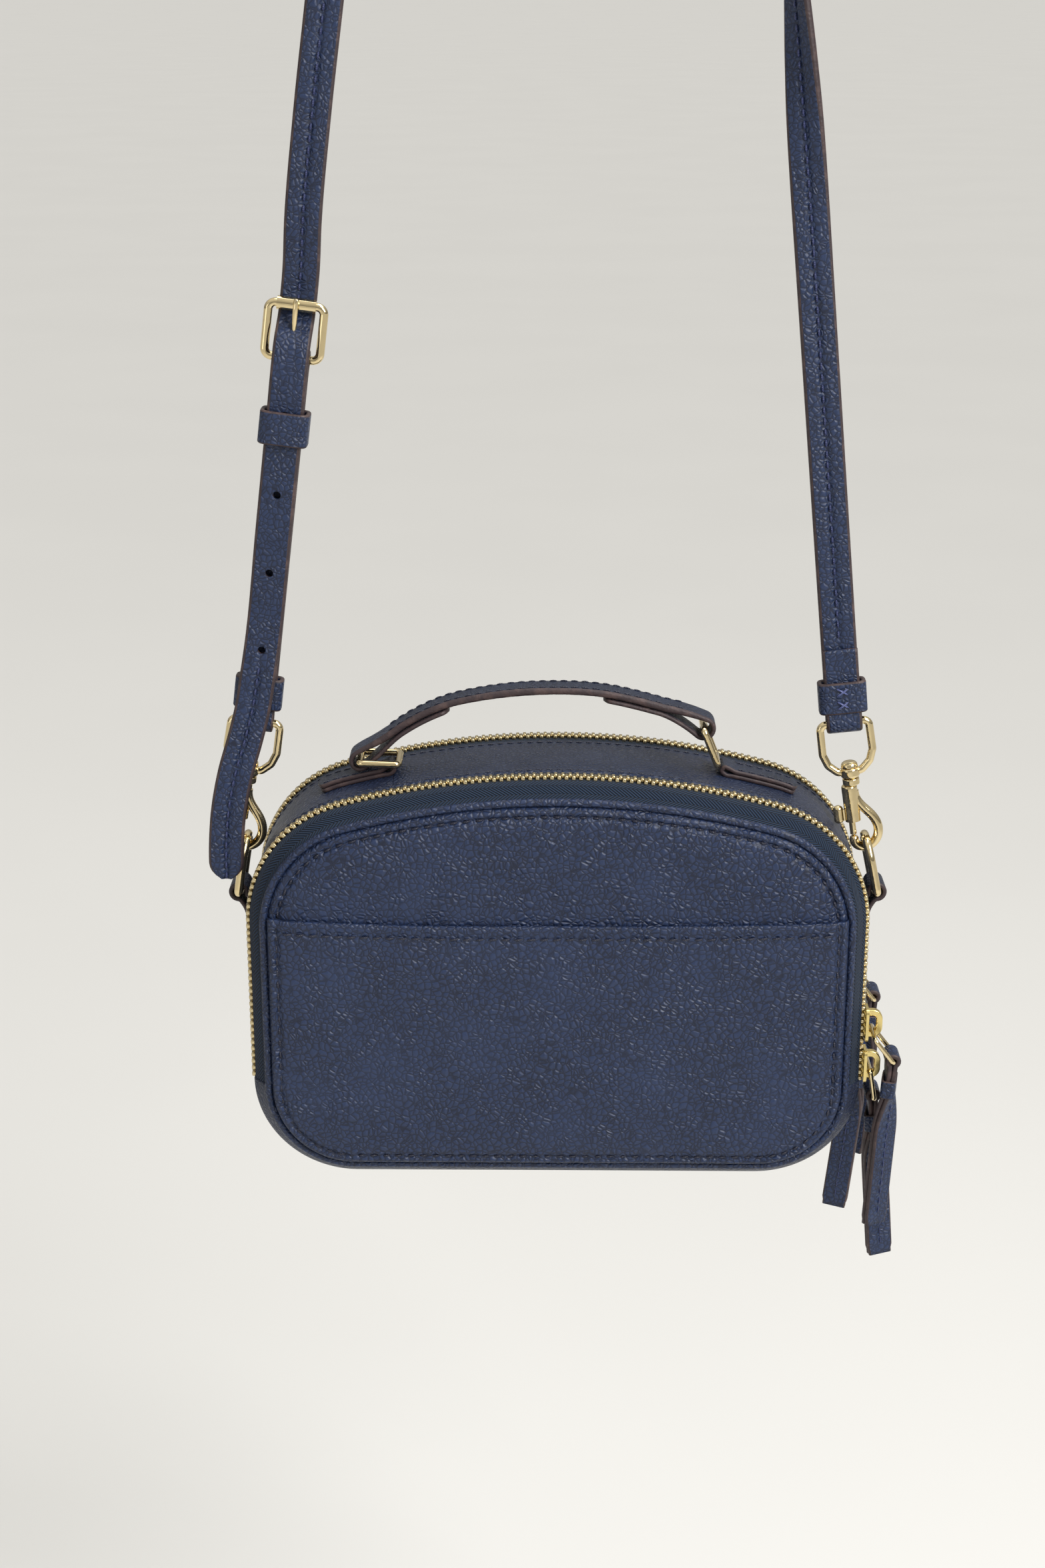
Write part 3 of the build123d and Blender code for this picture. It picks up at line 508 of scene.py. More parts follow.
def thread(name, colour):
    """Sewing thread: two plies twisted, drawn as fine slanted waves."""
    f = Finish(name)
    twist = f.node("ShaderNodeTexWave", Scale=900.0, Distortion=0.6)
    twist.bands_direction = "DIAGONAL"
    f.join(f.object_place(), twist.inputs["Vector"])
    f.join(f.mix(twist.outputs["Fac"], dim(colour, 0.55), colour), f.shader.inputs["Base Color"])
    f.join(f.bump(twist.outputs["Fac"], 0.00008), f.shader.inputs["Normal"])
    f.value(rough=0.42, sheen=0.1, sheen_rough=0.5)
    return f.material


tape_weave = herringbone("zip tape weave")
lining_cloth = cloth("lining cloth", linear("b8a58a"), linear("8d7b63"), 0.0008)
blue_thread = thread("blue thread", linear("202c5c"))
navy_thread = thread("navy thread", linear("10152e"))
keeper_thread = thread("lilac thread", linear("4f598c"))
print("metals and textiles ready")


# %% [markdown]
# ## The outline
#
# Seen from the front the bag is one rounded shape: a flat base, two lower corners, straight
# sides, two upper corners and a shallow arch. Each part is a line or an arc, so a point is found
# from its share of the way round. Moving the outline in by some distance only changes the radii.

# %% The arched outline
PARTS = (("base", 80), ("right foot", 40), ("right side", 40), ("right top", 44), ("arch", 100),
         ("left top", 44), ("left side", 40), ("left foot", 40))


def outline(inset, part):
    """x, z of one part of the outline, moved in by inset: arcs are centre + (radius - inset)."""
    n = dict(PARTS)[part]
    u = np.linspace(0, 1, n, endpoint=False)
    flip = -1 if part.startswith("left") else 1
    turn = 1 - u if flip < 0 else u
    if part == "base":
        return np.stack([BASE_X * (2 * u - 1), np.full(n, inset)], 1)
    if part == "arch":
        a = np.pi / 2 - ARCH + 2 * ARCH * u
        r = ARCH_R - inset
        return np.stack([r * np.cos(a), ARCH_Z + r * np.sin(a)], 1)
    if part.endswith("side"):
        side = np.full(n, flip * (WIDE / 2 - inset))
        return np.stack([side, BASE_CORNER + (CORNER_Z - BASE_CORNER) * turn], 1)
    if part.endswith("foot"):
        a = -np.pi / 2 + np.pi / 2 * turn
        r = BASE_CORNER - inset
        return np.stack([flip * (BASE_X + r * np.cos(a)), BASE_CORNER + r * np.sin(a)], 1)
    a = (np.pi / 2 - ARCH) * turn
    r = CORNER - inset
    return np.stack([flip * (CORNER_X + r * np.cos(a)), CORNER_Z + r * np.sin(a)], 1)


def ring(inset, y):
    """The whole outline as (n, 3) at depth y."""
    flat = np.concatenate([outline(inset, name) for name, _ in PARTS])
    return np.stack([flat[:, 0], np.broadcast_to(y, len(flat)), flat[:, 1]], 1)


def even_line(flat, y, step=None, count=None):
    """An (x, z) line without repeated points, cut into even steps and set at depth y."""
    moved = np.linalg.norm(np.diff(flat, axis=0), axis=1) > 1e-6
    flat = flat[np.concatenate([[True], moved])]
    t = travel(flat)
    s = np.linspace(0, t[-1], count or int(t[-1] / step))
    x, z = at_distance(flat, t, s).T
    return np.stack([x, np.full(len(s), y), z], 1)


def open_ring(inset, y, step=1.2, low=SEAM):
    """The outline above the seam as a line from the right side over the top to the left side."""
    top = np.concatenate([outline(inset, name) for name in
                          ("right side", "right top", "arch", "left top", "left side")])
    foot = np.array([[WIDE / 2 - inset, low]])
    left = np.array([[-(WIDE / 2 - inset), low]])
    return even_line(np.concatenate([foot, top, left]), y, step=step)


def depth_inside(x, z):
    """How far a point lies inside the outline: the least of its distances to base, sides, arcs."""
    ax = np.abs(x)
    d = np.minimum(z, WIDE / 2 - ax)
    d = np.minimum(d, ARCH_R - np.hypot(x, z - ARCH_Z))
    foot = (ax > BASE_X) & (z < BASE_CORNER)
    d = np.where(foot, BASE_CORNER - np.hypot(ax - BASE_X, z - BASE_CORNER), d)
    lean = np.arctan2(z - CORNER_Z, ax - CORNER_X)
    top = (ax > CORNER_X) & (z > CORNER_Z) & (lean < np.pi / 2 - ARCH)
    return np.where(top, CORNER - np.hypot(ax - CORNER_X, z - CORNER_Z), d)


print("outline", len(ring(0, 0)), "points, height", round(float(ring(0, 0)[:, 2].max()), 1))


# %% [markdown]
# ## Front and rear panels
#
# Each face of the bag is one hide panel, sewn down near its edge over something soft. So it
# rises from its border in a soft step, dips at the sewing line and is almost flat inside.
# The height is a function of the distance to the border, with slow swells over the whole hide.

# %% Panel height
SEAM_IN = 3.6                    # sewing line, in from the welt


def swell(x, z):
    """Slow unevenness of a filled bag: a few long waves, under half a millimetre each."""
    return (0.35 * np.sin(x / 31 + 0.8) * np.sin(z / 27 + 0.4) + 0.25 * np.sin(x / 17 - z / 23 + 2.0)
            + 0.18 * np.sin(x / 9.5 + z / 12.0) * np.sin(z / 11 + 1.0))


def creases(x, z):
    """Creases at the lower corners: short ridges that run in from each corner and fade out."""
    total = 0.0
    for side in (-1, 1):
        u = (side * x - 62) / 20
        v = (z - 24) / 14
        fade = np.exp(-(u**2 + v**2))
        total = total + 0.35 * fade * np.sin((side * x * 0.55 + z * 0.9) / 3.1)
    return total


def panel_rise(inset, d, x, z):
    """Height over the welt line at distance d: rolled border, less a valley at the seam, plus dome."""
    e = d - inset - WELT_R
    border = 2.7 * (1 - np.exp(-np.clip(e, 0, None) / 0.8))
    valley = -1.15 * np.exp(-((e - SEAM_IN) / 0.85) ** 2)
    dome = (BULGE - 2.7) * (1 - np.exp(-np.clip(e - SEAM_IN, 0, None) / 4.5))
    inner = 1 - np.exp(-np.clip(e - 4, 0, None) / 9)
    return border + valley + dome + inner * (swell(x, z) - 0.3) + creases(x, z) * inner


def seam_ring(which):
    """The sewing line of a panel: the outline moved in to the seam, closed, and its arc length."""
    line = ring(INSET[which] + WELT_R + SEAM_IN, 0.0)
    line = np.vstack([line, line[:1]])
    return line, travel(line)


def pucker(which, x, z, pitch=4.3):
    """Pull of the stitches: a dip |sin(pi s / pitch)| deep beside the seam point nearest to (x, z)."""
    line, s = seam_ring(which)
    near = np.argmin((x.reshape(-1, 1) - line[:, 0]) ** 2 + (z.reshape(-1, 1) - line[:, 2]) ** 2, axis=1)
    e = depth_inside(x, z) - INSET[which] - WELT_R - SEAM_IN
    wave = np.abs(np.sin(np.pi * s[near].reshape(x.shape) / pitch))
    return 1.1 * (1 - wave) ** 1.5 * np.exp(-(e / 1.3) ** 2)


def make_face(which):
    """Closed panel shell: rings from the middle to the rim in front, and back behind it."""
    inset, side = INSET[which], SIDE[which]
    rim = inset + WELT_R - 0.35
    near = rim + np.array([0, 0.3, 0.6, 1.0, 1.5, 2.2, 2.8, 3.3, 3.65, 4.0, 4.35, 4.8, 5.4, 6.2, 7.4,
                           9, 11, 13.5, 16])
    share = np.linspace(1, 0.012, 26)[1:]
    middle = np.array([0.0, 0.0, 72.0])
    last = ring(near[-1], 0.0)
    rows = np.array([ring(d, 0.0) for d in near] + [middle + (last - middle) * s for s in share])
    x, z = rows[..., 0], rows[..., 2]
    d = depth_inside(x, z)
    front = rows.copy()
    front[..., 1] = side * (WELT_Y - 0.4 + panel_rise(inset, d, x, z) + pucker(which, x, z))
    back = rows.copy()
    back[..., 1] = side * (WELT_Y - 0.8)
    bulge = BULGE * (1 - np.exp(-np.clip(d - inset - 3.5, 0, None) / 2.6))
    back[..., 1] += side * np.clip(bulge - 1.2, 0, None)
    return face_out(grid_piece(f"{which}_panel_leather", np.concatenate([front[::-1], back])))


front_face = make_face("front")
rear_face = make_face("rear")
paint(pebbled, front_face, rear_face)
print("panels", len(front_face.data.polygons), "faces each")

# %% [markdown]
# ## The slip pocket
#
# A second layer of the same hide covers the lower two thirds of the front. Its top edge is
# turned over and sewn, and sags slightly in the middle. It is the same height function raised by
# the layer's thickness, on a grid whose rows run from the base up to the sagging mouth.

# %% Pocket
MOUTH, DIP, PLY = 98.0, 2.0, 1.5


def mouth_height(x):
    """The mouth hangs as a shallow parabola: side height less dip * (1 - (x / half width)^2)."""
    return MOUTH - DIP * (1 - (x / (WIDE / 2)) ** 2)


def make_pocket():
    """Closed pocket ply: front grid, rolled top edge and back grid."""
    inset = INSET["front"]
    rim = inset + WELT_R - 0.3
    down = np.concatenate([np.linspace(0, 1, 70)[:-1] ** 1.35, [1.0]])
    u = np.linspace(-1, 1, 181)
    u = np.sign(u) * (1 - (1 - np.abs(u)) ** 1.25)
    z = rim + (MOUTH - rim) * down
    r = BASE_CORNER - rim
    low = np.clip(BASE_CORNER - z, 0, r)
    half = np.where(z < BASE_CORNER, BASE_X + np.sqrt(r**2 - low**2), WIDE / 2 - rim)
    x = half[:, None] * u[None]
    z = np.broadcast_to(z[:, None], x.shape)
    z = rim + (z - rim) * (mouth_height(x) - rim) / (MOUTH - rim)
    d = np.maximum(depth_inside(x, z), rim)
    height = panel_rise(inset, d, x, z) + pucker("front", x, z)
    top_gap = mouth_height(x) - z
    sewn = -0.45 * np.exp(-((top_gap - 4.2) / 0.9) ** 2)
    rolled = 0.35 * np.exp(-(top_gap / 2.6) ** 2)
    lift = PLY * np.clip((d - rim) / 1.2, 0, 1) ** 0.6
    front = np.stack([x, -(WELT_Y - 0.4 + height + lift + sewn + rolled), z], -1)
    back = np.stack([x, -(WELT_Y - 0.35 + height - 0.2), z], -1)
    lip = front[-1:] * 0.5 + back[-1:] * 0.5
    lip[..., 2] += 0.55
    upper = front[-1:] * 0.85 + back[-1:] * 0.15
    upper[..., 2] += 0.32
    grid = np.concatenate([front, upper, lip, back[::-1]])
    faces = cells(len(grid), x.shape[1], True, False).tolist()
    rows = np.arange(len(grid)) * x.shape[1]
    faces += [rows.tolist(), (rows + x.shape[1] - 1)[::-1].tolist()]
    return face_out(build("pocket_leather", grid.reshape(-1, 3), faces))


pocket = make_pocket()
paint(pebbled, pocket)
print("pocket", len(pocket.data.polygons), "faces")

# %% [markdown]
# ## Welts
#
# A welt is a cord wrapped in leather and trapped in the seam between panel and zip tape. It is a
# tube along the outline, a little flattened against the panel.

# %% Welts
welts = {}
for which in ("front", "rear"):
    side = SIDE[which]
    line = ring(INSET[which] + 0.25, side * (WELT_Y + 0.2))
    welts[which] = tube(f"{which}_welt_cord", line, 1.35, around=14)
    paint(pebbled, welts[which])
print("welts", sorted(welts))


# %% [markdown]
# ## Zip tapes and base
#
# The sides of the bag are strips bent round the outline. A strip is a list of (depth, inset)
# stations carried round the outline, with the same list moved inwards for its inner face. The
# leather band in the middle is slightly crowned and its edges are turned under.

# %% Strips round the outline
def strip_round(name, stations, thick, low=SEAM):
    """Closed strip: rows follow the outline above low, columns are the (depth, inset) stations."""
    y, d = np.array(stations, float).T
    depth = np.concatenate([y, y[::-1]])
    inset = np.concatenate([d, d[::-1] + thick])
    base = open_ring(0.0, 0.0, low=low)
    columns = []
    for yy, dd in zip(depth, inset):
        line = open_ring(float(dd), float(yy), low=low)
        columns.append(at_distance(line, np.linspace(0, 1, len(line)), np.linspace(0, 1, len(base))))
    grid = np.stack(columns, 1)
    along = travel(base)
    marks = {"along": np.broadcast_to(along[:, None], grid.shape[:2]),
             "across": np.broadcast_to(depth[None], grid.shape[:2])}
    return face_out(grid_piece(name, grid, marks=marks))


SLOPE_Y = 24.8                   # depth where the sides start to fall to the welts


def slope(which, y):
    """Inset at depth y: level near the middle, then falling straight to the welt."""
    return INSET[which] * np.clip((y - SLOPE_Y) / (WELT_Y - SLOPE_Y), 0, 1)


tapes = {}
for which in ("front", "rear"):
    side = SIDE[which]
    out_y = np.linspace(22.9, 30.6, 9)
    tapes[which, "outer"] = strip_round(
        f"{which}_tape_outer", [(side * y, 0.25 + slope(which, y) + 0.12 * np.sin((y - 22.9) * 1.2))
                                for y in out_y], 0.6)
    in_y = np.linspace(16.9, 21.1, 6)
    tapes[which, "inner"] = strip_round(f"{which}_tape_inner", [(side * y, 0.25) for y in in_y], 0.6)
paint(tape_weave, *tapes.values())

BAND = 17.6
y = np.linspace(-1, 1, 25)
crown = [(BAND * v, 0.05 - 0.25 * (1 - v**2) - 0.35 * np.exp(-((abs(v) - 0.93) / 0.05) ** 2)
          + 0.9 * np.clip((abs(v) - 0.965) / 0.035, 0, 1) ** 2) for v in y]
band = strip_round("gusset_band_leather", crown, 1.5, low=SEAM - 0.5)
paint(band_leather, band)
print("tapes", len(tapes), "band faces", len(band.data.polygons))

# %% [markdown]
# ## The base
#
# Below the seam one piece of leather wraps the foot of the bag from welt to welt and covers the
# ends of the zips. It follows the outline's lower part, so it is its own grid.

# %% Base leather
def foot_line(inset, y, high=SEAM + 1.2):
    """The outline below the seam, from the right side round the base to the left side."""
    right, base, left = outline(inset, "right foot"), outline(inset, "base"), outline(inset, "left foot")
    start = np.array([[WIDE / 2 - inset, high]])
    end = np.array([[-(WIDE / 2 - inset), high]])
    flat = np.concatenate([start, right[::-1], base[::-1], left[::-1], end])
    return even_line(flat[flat[:, 1] <= high + 1e-6], y, count=240)


def make_base():
    """Closed strip round the foot: outer face bowed a little, edges tucked behind the welts."""
    depth = np.linspace(-30.9, 30.9, 41)
    which = np.where(depth < 0, "front", "rear")
    inset = np.array([slope(w, abs(v)) for w, v in zip(which, depth)])
    outer = inset - 0.35 * np.cos(depth / 31 * np.pi / 2)
    columns = [foot_line(float(d), float(v)) for d, v in zip(outer, depth)]
    columns += [foot_line(float(d) + 1.6, float(v)) for d, v in zip(inset[::-1], depth[::-1])]
    return face_out(grid_piece("base_leather", np.stack(columns, 1)))


base = make_base()
paint(band_leather, base)
print("base", len(base.data.polygons), "faces")

# %% [markdown]
# ## Zip teeth
#
# A metal zip has one tooth every 2.4 mm on each tape, and the two rows interlock half a step
# apart. One small tooth of a few dozen faces is copied to every place by adding arrays, so four
# rows cost no more code than one tooth.

# %% Teeth
PITCH = 2.4


def tooth():
    """One tooth: a rounded block along y with a waist near its inner end, 10 points a ring."""
    a = np.linspace(0, 2 * np.pi, 10, endpoint=False)
    reach = np.array([-1.35, -1.2, -0.35, 0.2, 1.2, 1.42])
    half = np.array([0.50, 0.62, 0.62, 0.42, 0.60, 0.42])
    tall = np.array([0.70, 0.92, 0.98, 0.80, 1.10, 0.80])
    x = blunt(np.cos(a), 0.45)[None] * half[:, None]
    z = blunt(np.sin(a), 0.45)[None] * tall[:, None]
    y = np.broadcast_to(reach[:, None], x.shape)
    faces = cells(6, 10, False, True).tolist() + [list(range(10)), [50 + k for k in range(10)][::-1]]
    return np.stack([x, y, z], -1).reshape(-1, 3), faces


def teeth_row(name, which, row):
    """Row of teeth: the outline is walked in steps of the pitch, half a step apart for the rows."""
    side = SIDE[which]
    line = open_ring(-0.05, 0.0, step=0.4, low=SEAM + 1.0)
    t = travel(line)
    at = np.arange(PITCH * (0.25 if row == "outer" else 0.75), t[-1], PITCH)
    spot = at_distance(line, t, at)
    run = unit(at_distance(line, t, at + 0.5) - at_distance(line, t, at - 0.5))
    toward = side if row == "inner" else -side
    away = np.broadcast_to(np.array([0.0, toward, 0.0]), run.shape)
    up = unit(np.cross(run, (0, 1, 0)))
    up = np.where((up * (spot - (0, 0, 70))).sum(1, keepdims=True) < 0, -up, up)
    spot = spot + np.array([0, side * (CHAIN_Y - 0.95 if row == "inner" else CHAIN_Y + 0.95), 0])
    return copies(name, *tooth(), spot, run, away, up)


teeth = {(w, r): teeth_row(f"{w}_teeth_{r}", w, r) for w in ("front", "rear") for r in ("inner", "outer")}
paint(zip_gold, *teeth.values())
print("teeth", sum(len(p.data.polygons) for p in teeth.values()), "faces in four rows")

# %% [markdown]
# ## The shoulder strap
#
# The strap rises from the right clip, turns on its edge as it nears the peg, and comes down on
# the left, through the buckle. Its route is a short list of places with a twist at each. Above
# the buckle the strap is folded from one strip whose edges meet in a sewn groove.

# %% Strap route
STRAP_W, STRAP_T = 12.0, 2.6
EYE_Z, LEAN_RIGHT, LEAN_LEFT = 157.0, np.radians(6.0), np.radians(7.4)
RIGHT_EYE, LEFT_EYE = 96.8, -102.5
HEEL, BUCKLE_L = 123.7, 17.2
across_right = np.array([np.cos(LEAN_RIGHT), 0, np.sin(LEAN_RIGHT)])
up_right = np.array([-np.sin(LEAN_RIGHT), 0, np.cos(LEAN_RIGHT)])
across_left = np.array([np.cos(LEAN_LEFT), 0, -np.sin(LEAN_LEFT)])
up_left = np.array([np.sin(LEAN_LEFT), 0, np.cos(LEAN_LEFT)])


def right_leg(s, y):
    """Point s up the right leg from the clip's eye."""
    return (RIGHT_EYE - s * np.sin(LEAN_RIGHT), y, EYE_Z + s * np.cos(LEAN_RIGHT))


def left_leg(s, y):
    """Point s up the left leg from the clip's eye."""
    return (LEFT_EYE + s * np.sin(LEAN_LEFT), y, EYE_Z + s * np.cos(LEAN_LEFT))


peg_z, bend = HANG - 6.0, 7.2
rise = [(68.3, 0.7, 425, -78), (63.3, 0.4, 462, -90), (56.0, 0, 508, -90), (46.0, 0, 555, -90),
        (34.0, 0, 602, -90), (20.8, 0, 645, -90), (10.9, 0, 674, -90)]
fall = [(-x, y, z, t) for (x, y, z, _), t in zip(rise, (-8, -32, -64, -86, -90, -90, -90))][::-1]
over = [(bend * np.cos(a), 0, peg_z + bend * np.sin(a), -90) for a in np.radians(range(0, 181, 30))]
fold_right = [(*right_leg(s, y), 0) for s, y in (
    (26.0, -1.0), (14.0, -1.05), (5.5, -1.5), (1.2, -2.35), (-1.6, -2.0), (-2.6, 0.0), (-1.6, 2.0),
    (1.2, 2.35), (5.5, 1.7))]
rising = [(*right_leg(s, 0.9), t) for s, t in ((14, 0), (27, 0), (60, 0), (100, 0), (140, 0), (165, -3),
                                               (195, -22), (215, -42), (235, -61))]
heel_y = -(1.4 + 0.4 + 1.6 + 0.3 + 1.2)
behind = 2.2 + 0.4 + 1.2
top = HEEL + BUCKLE_L
falling = [(-72.6, 0.9, 393, 0), (-77.8, 0.9, 356, 0), (-81.8, 1.2, 322, 0)]
falling += [(*left_leg(s, y), 0) for s, y in (
    (top + 11, 3.0), (top + 2.5, behind + 0.4), (top - 2.5, behind - 0.3), (HEEL + 4.5, heel_y + 0.9),
    (HEEL - 2, heel_y), (105, -4.3), (66, -4.0), (28, -4.4))]
falling += [(-100.7, -5.9, 174, 0), (-102.5, -6.6, 164, 0), (-105.4, -7.9, 153, 0), (-109.0, -9.7, 141, 0),
            (-111.7, -11.6, 127, 0), (-112.6, -12.7, 116, 0), (-112.8, -13.3, 104.8, 0)]
route = smooth_run(fold_right + rising + rise + over + fall + falling, 1.4)


def twisted(route):
    """Width directions: the sideways vector turned about the path by the twist in the route."""
    p, twist = route[:, :3], np.radians(route[:, 3])[:, None]
    run = unit(np.gradient(p, axis=0))
    front = unit(np.array([0.0, -1.0, 0.0]) - run * (-run[:, 1:2]))
    front = front * np.cos(twist) + np.cross(run, front) * np.sin(twist)
    return np.cross(run, front)


# %% [markdown]
# The fold round the clip runs backwards at its start, where the plain rule above would flip the
# strap over. There the width direction is set straight across the leg instead.

# %% Long strap
across = twisted(route)
first_up = int(np.argmax((route[:, 1] > 1.0) & (route[:, 2] > right_leg(8, 0)[2])))
across[:first_up + 4] = across_right
sign = np.ones(len(route))
flips = (across[1:] * across[:-1]).sum(1) < 0
sign[1:] = np.where(np.cumsum(flips) % 2 == 1, -1, 1)
across = across * sign[:, None]
left_s = (route[:, 2] - EYE_Z) / np.cos(LEAN_LEFT)
on_left = (np.arange(len(route)) > np.argmax(route[:, 2])) & (route[:, 0] < 0)
plain = on_left & (left_s < top + 1) & (left_s > 22)
groove = np.where(plain, 0.0, 0.7)
groove[:first_up + 12] = 0.0
groove = even_out(groove, 4)
thick = np.full(len(route), STRAP_T)
thick[:first_up] = 1.6
thick = even_out(thick, 6)
strap, strap_frame = lay_band("strap_long_leather", route[:, :3], across, STRAP_W, thick, groove,
                              ends=(0, 6.0))
paint(strap_leather, strap)
print("strap length along its middle", round(float(travel(route[:, :3])[-1])), "mm")

# %% [markdown]
# Holes for the prong are cut through the strap with round cutters, 26 mm apart.

# %% Strap holes
def cutter(centre, radius, length):
    """Round rod along y."""
    path = np.array([centre + np.array([0, v, 0]) for v in (-length / 2, 0, length / 2)])
    a = np.linspace(0, 2 * np.pi, 20, endpoint=False)
    circle = np.stack([np.cos(a), np.zeros(20), np.sin(a)], 1) * radius
    return face_out(grid_piece("cutter", path[:, None] + circle[None]))


for k in range(4):
    rod = cutter(np.array(left_leg(HEEL + 8.5 - 26.4 * (k + 1), -4.3)), 1.3, 12)
    cut = strap.modifiers.new("hole", "BOOLEAN")
    cut.object, cut.solver = rod, "EXACT"
    shaped = bpy.data.meshes.new_from_object(strap.evaluated_get(bpy.context.evaluated_depsgraph_get()))
    strap.modifiers.clear()
    strap.data = shaped
    bpy.data.objects.remove(rod)
print("strap", len(strap.data.polygons), "faces after the holes")

# %% [markdown]
# The short strap piece is one loop of thin leather from the clip's eye to the buckle's heel
# bar, and keepers are small loops round the layers. Each is a closed band.

# %% Short strap and keepers
def stadium(low, high, r, gap):
    """Closed loop round two bars: half circles of radius r at each bar, sides gap apart."""
    a = np.linspace(0, 2 * np.pi, 150, endpoint=False)
    s = np.where(np.sin(a) < 0, low + r * np.sin(a), high + r * np.sin(a))
    y = r * np.cos(a)
    line = np.linspace(0, 1, 60, endpoint=False)[1:]
    top_half = np.sin(a) >= 0
    up = np.stack([s[top_half], y[top_half]], 1)
    down = np.stack([s[~top_half], y[~top_half]], 1)
    def leg(start, stop, sign):
        ss = start + (stop - start) * line
        near = np.minimum(np.abs(ss - low), np.abs(ss - high))
        yy = sign * (gap + (r - gap) * np.exp(-(near / 3.2) ** 2))
        return np.stack([ss, yy], 1)
    flat = np.concatenate([up, leg(high, low, -1), down, leg(low, high, 1)])
    return np.array([left_leg(s, y) for s, y in flat])


short, _ = lay_band("strap_short_leather", stadium(0, HEEL, 2.55, 0.85), across_left, 11.8, 1.5, closed=True)
paint(strap_leather, short)


KEEPER_CORNER, KEEPER_TALL = 0.36, 11.0


def keeper(name, centre, sideways, up, y0, y1):
    """Closed band round a stack of straps: a rounded rectangle in the plane across the strap."""
    half = STRAP_W / 2 + 1.35
    y0, y1 = y0 - 0.85, y1 + 0.85
    a = np.linspace(0, 2 * np.pi, 96, endpoint=False)
    x = half * blunt(np.cos(a), KEEPER_CORNER)
    y = (y0 + y1) / 2 + (y1 - y0) / 2 * blunt(np.sin(a), KEEPER_CORNER)
    path = np.asarray(centre) + x[:, None] * sideways + y[:, None] * np.array([0, 1.0, 0])
    ringed = np.vstack([path, path[:1]])
    t = travel(ringed)
    path = at_distance(ringed, t, np.linspace(0, t[-1], 96, endpoint=False))
    piece, _ = lay_band(name, path, up, KEEPER_TALL, 1.6, closed=True)
    paint(strap_leather, piece)
    return piece


keepers = {
    f"strap_keeper_{name}": keeper(f"keeper_{name}_leather", centre, sideways, up, y0, y1)
    for name, centre, sideways, up, y0, y1 in (
        ("left", left_leg(10.4, 0), across_left, up_left, -1.9, 1.9),
        ("right", right_leg(9.4, 0), across_right, up_right, -1.9, 2.4),
        ("loose", left_leg(101.5, 0), across_left, up_left, -5.95, 2.0))}
print("keepers", sorted(keepers))

# %% [markdown]
# ## The handle
#
# The handle is one thick strap. Each end goes round a wire ring and comes back under the grip,
# which leaves a teardrop loop at the ring. So it is one band whose path doubles back at both
# ends, thick along the grip and skived thin where it folds.

# %% Handle and its loops
TAB_X, LIFT, RING = 54.0, 4.2, 13.3      # where the rings turn, over the band, and their length
PIVOT_Z = ARCH_Z + np.sqrt(ARCH_R**2 - TAB_X**2) + LIFT


def ring_bar(x, angle):
    """The free bar of a ring that turns at x: one ring length away at an angle in degrees."""
    return np.array([x + RING * np.cos(np.radians(angle)), 0, PIVOT_Z + RING * np.sin(np.radians(angle))])


left_bar, right_bar = ring_bar(-TAB_X, 178), ring_bar(TAB_X, 111.4)
lx, lz, rx, rz = left_bar[0], left_bar[2], right_bar[0], right_bar[2]
grip = [(lx + x, 0, lz + z) for x, z in ((4.5, 5.0), (9.0, 7.6), (14.5, 11.6), (22.0, 16.0), (30.0, 19.4),
                                         (40.0, 21.8))]
grip += [(-6.0, 0, lz + 24.2), (18.0, 0, lz + 22.9)]
grip += [(rx + x, 0, rz + z) for x, z in ((-22.0, 8.9), (-12.0, 6.2), (-4.0, 4.4))]
grip = smooth_run(grip, 1.2)
grip_run = unit(np.gradient(grip, axis=0))
grip_up = np.cross(grip_run, (0, 1, 0))
grip_up = grip_up * np.sign(grip_up[:, 2:3])


def round_bar(bar, r, start, stop, n=20):
    """Arc of radius r round a bar from one angle to another, in degrees."""
    a = np.radians(np.linspace(start, stop, n))
    return bar + r * np.stack([np.cos(a), np.zeros(n), np.sin(a)], 1)


def under(first, last):
    """The return ply lies against the underside of the grip between two shares of its length."""
    k = (np.linspace(first, last, 9) * (len(grip) - 1)).astype(int)
    return grip[k] - grip_up[k] * 1.62


upper = grip + grip_up * 0.7
strip_line = np.concatenate([
    under(0.26, 0.10), [left_bar + (5.2, 0, 0.9)], round_bar(left_bar, 2.9, 292, 122), upper[2:-2:4],
    round_bar(right_bar, 3.35, 74, -136), [right_bar + (-6.6, 0, 0.9)], under(0.91, 0.74)])
strip_line = smooth_run(strip_line, 0.7)
on_top = np.array([np.linalg.norm(upper - q, axis=1).min() for q in strip_line]) < 0.4
ply = even_out(np.where(on_top, 3.0, 1.6), 8)
handle_strip, _ = lay_band("handle_leather_strip", strip_line, (0, 1, 0), 10.0, ply, ends=(2.5, 2.5))
paint(handle_leather, handle_strip)
print("handle spans", round(float(rx - lx), 1), "mm between its rings")


# %% [markdown]
# ## Tabs
#
# A tab is one strip folded round a ring and sewn flat to the bag, so it has two plies with a
# loop at one end. The handle tabs follow the arch; the side tabs follow the straight side.

# %% Tabs
def over_band(x, up):
    """Point at height up above the top of the band, along its normal, at distance x from centre."""
    ax = np.abs(x)
    on_arch = ax <= ARCH_R * np.sin(ARCH)
    angle = np.where(on_arch, np.arcsin(np.clip(ax / ARCH_R, 0, 1)), 0)
    corner = np.arcsin(np.clip((ax - CORNER_X) / CORNER, -1, 1))
    px = np.where(on_arch, (ARCH_R + up) * np.sin(angle), CORNER_X + (CORNER + up) * np.sin(corner))
    pz = np.where(on_arch, ARCH_Z + (ARCH_R + up) * np.cos(angle), CORNER_Z + (CORNER + up) * np.cos(corner))
    return np.stack([np.sign(x) * px, 0 * px, pz], -1)


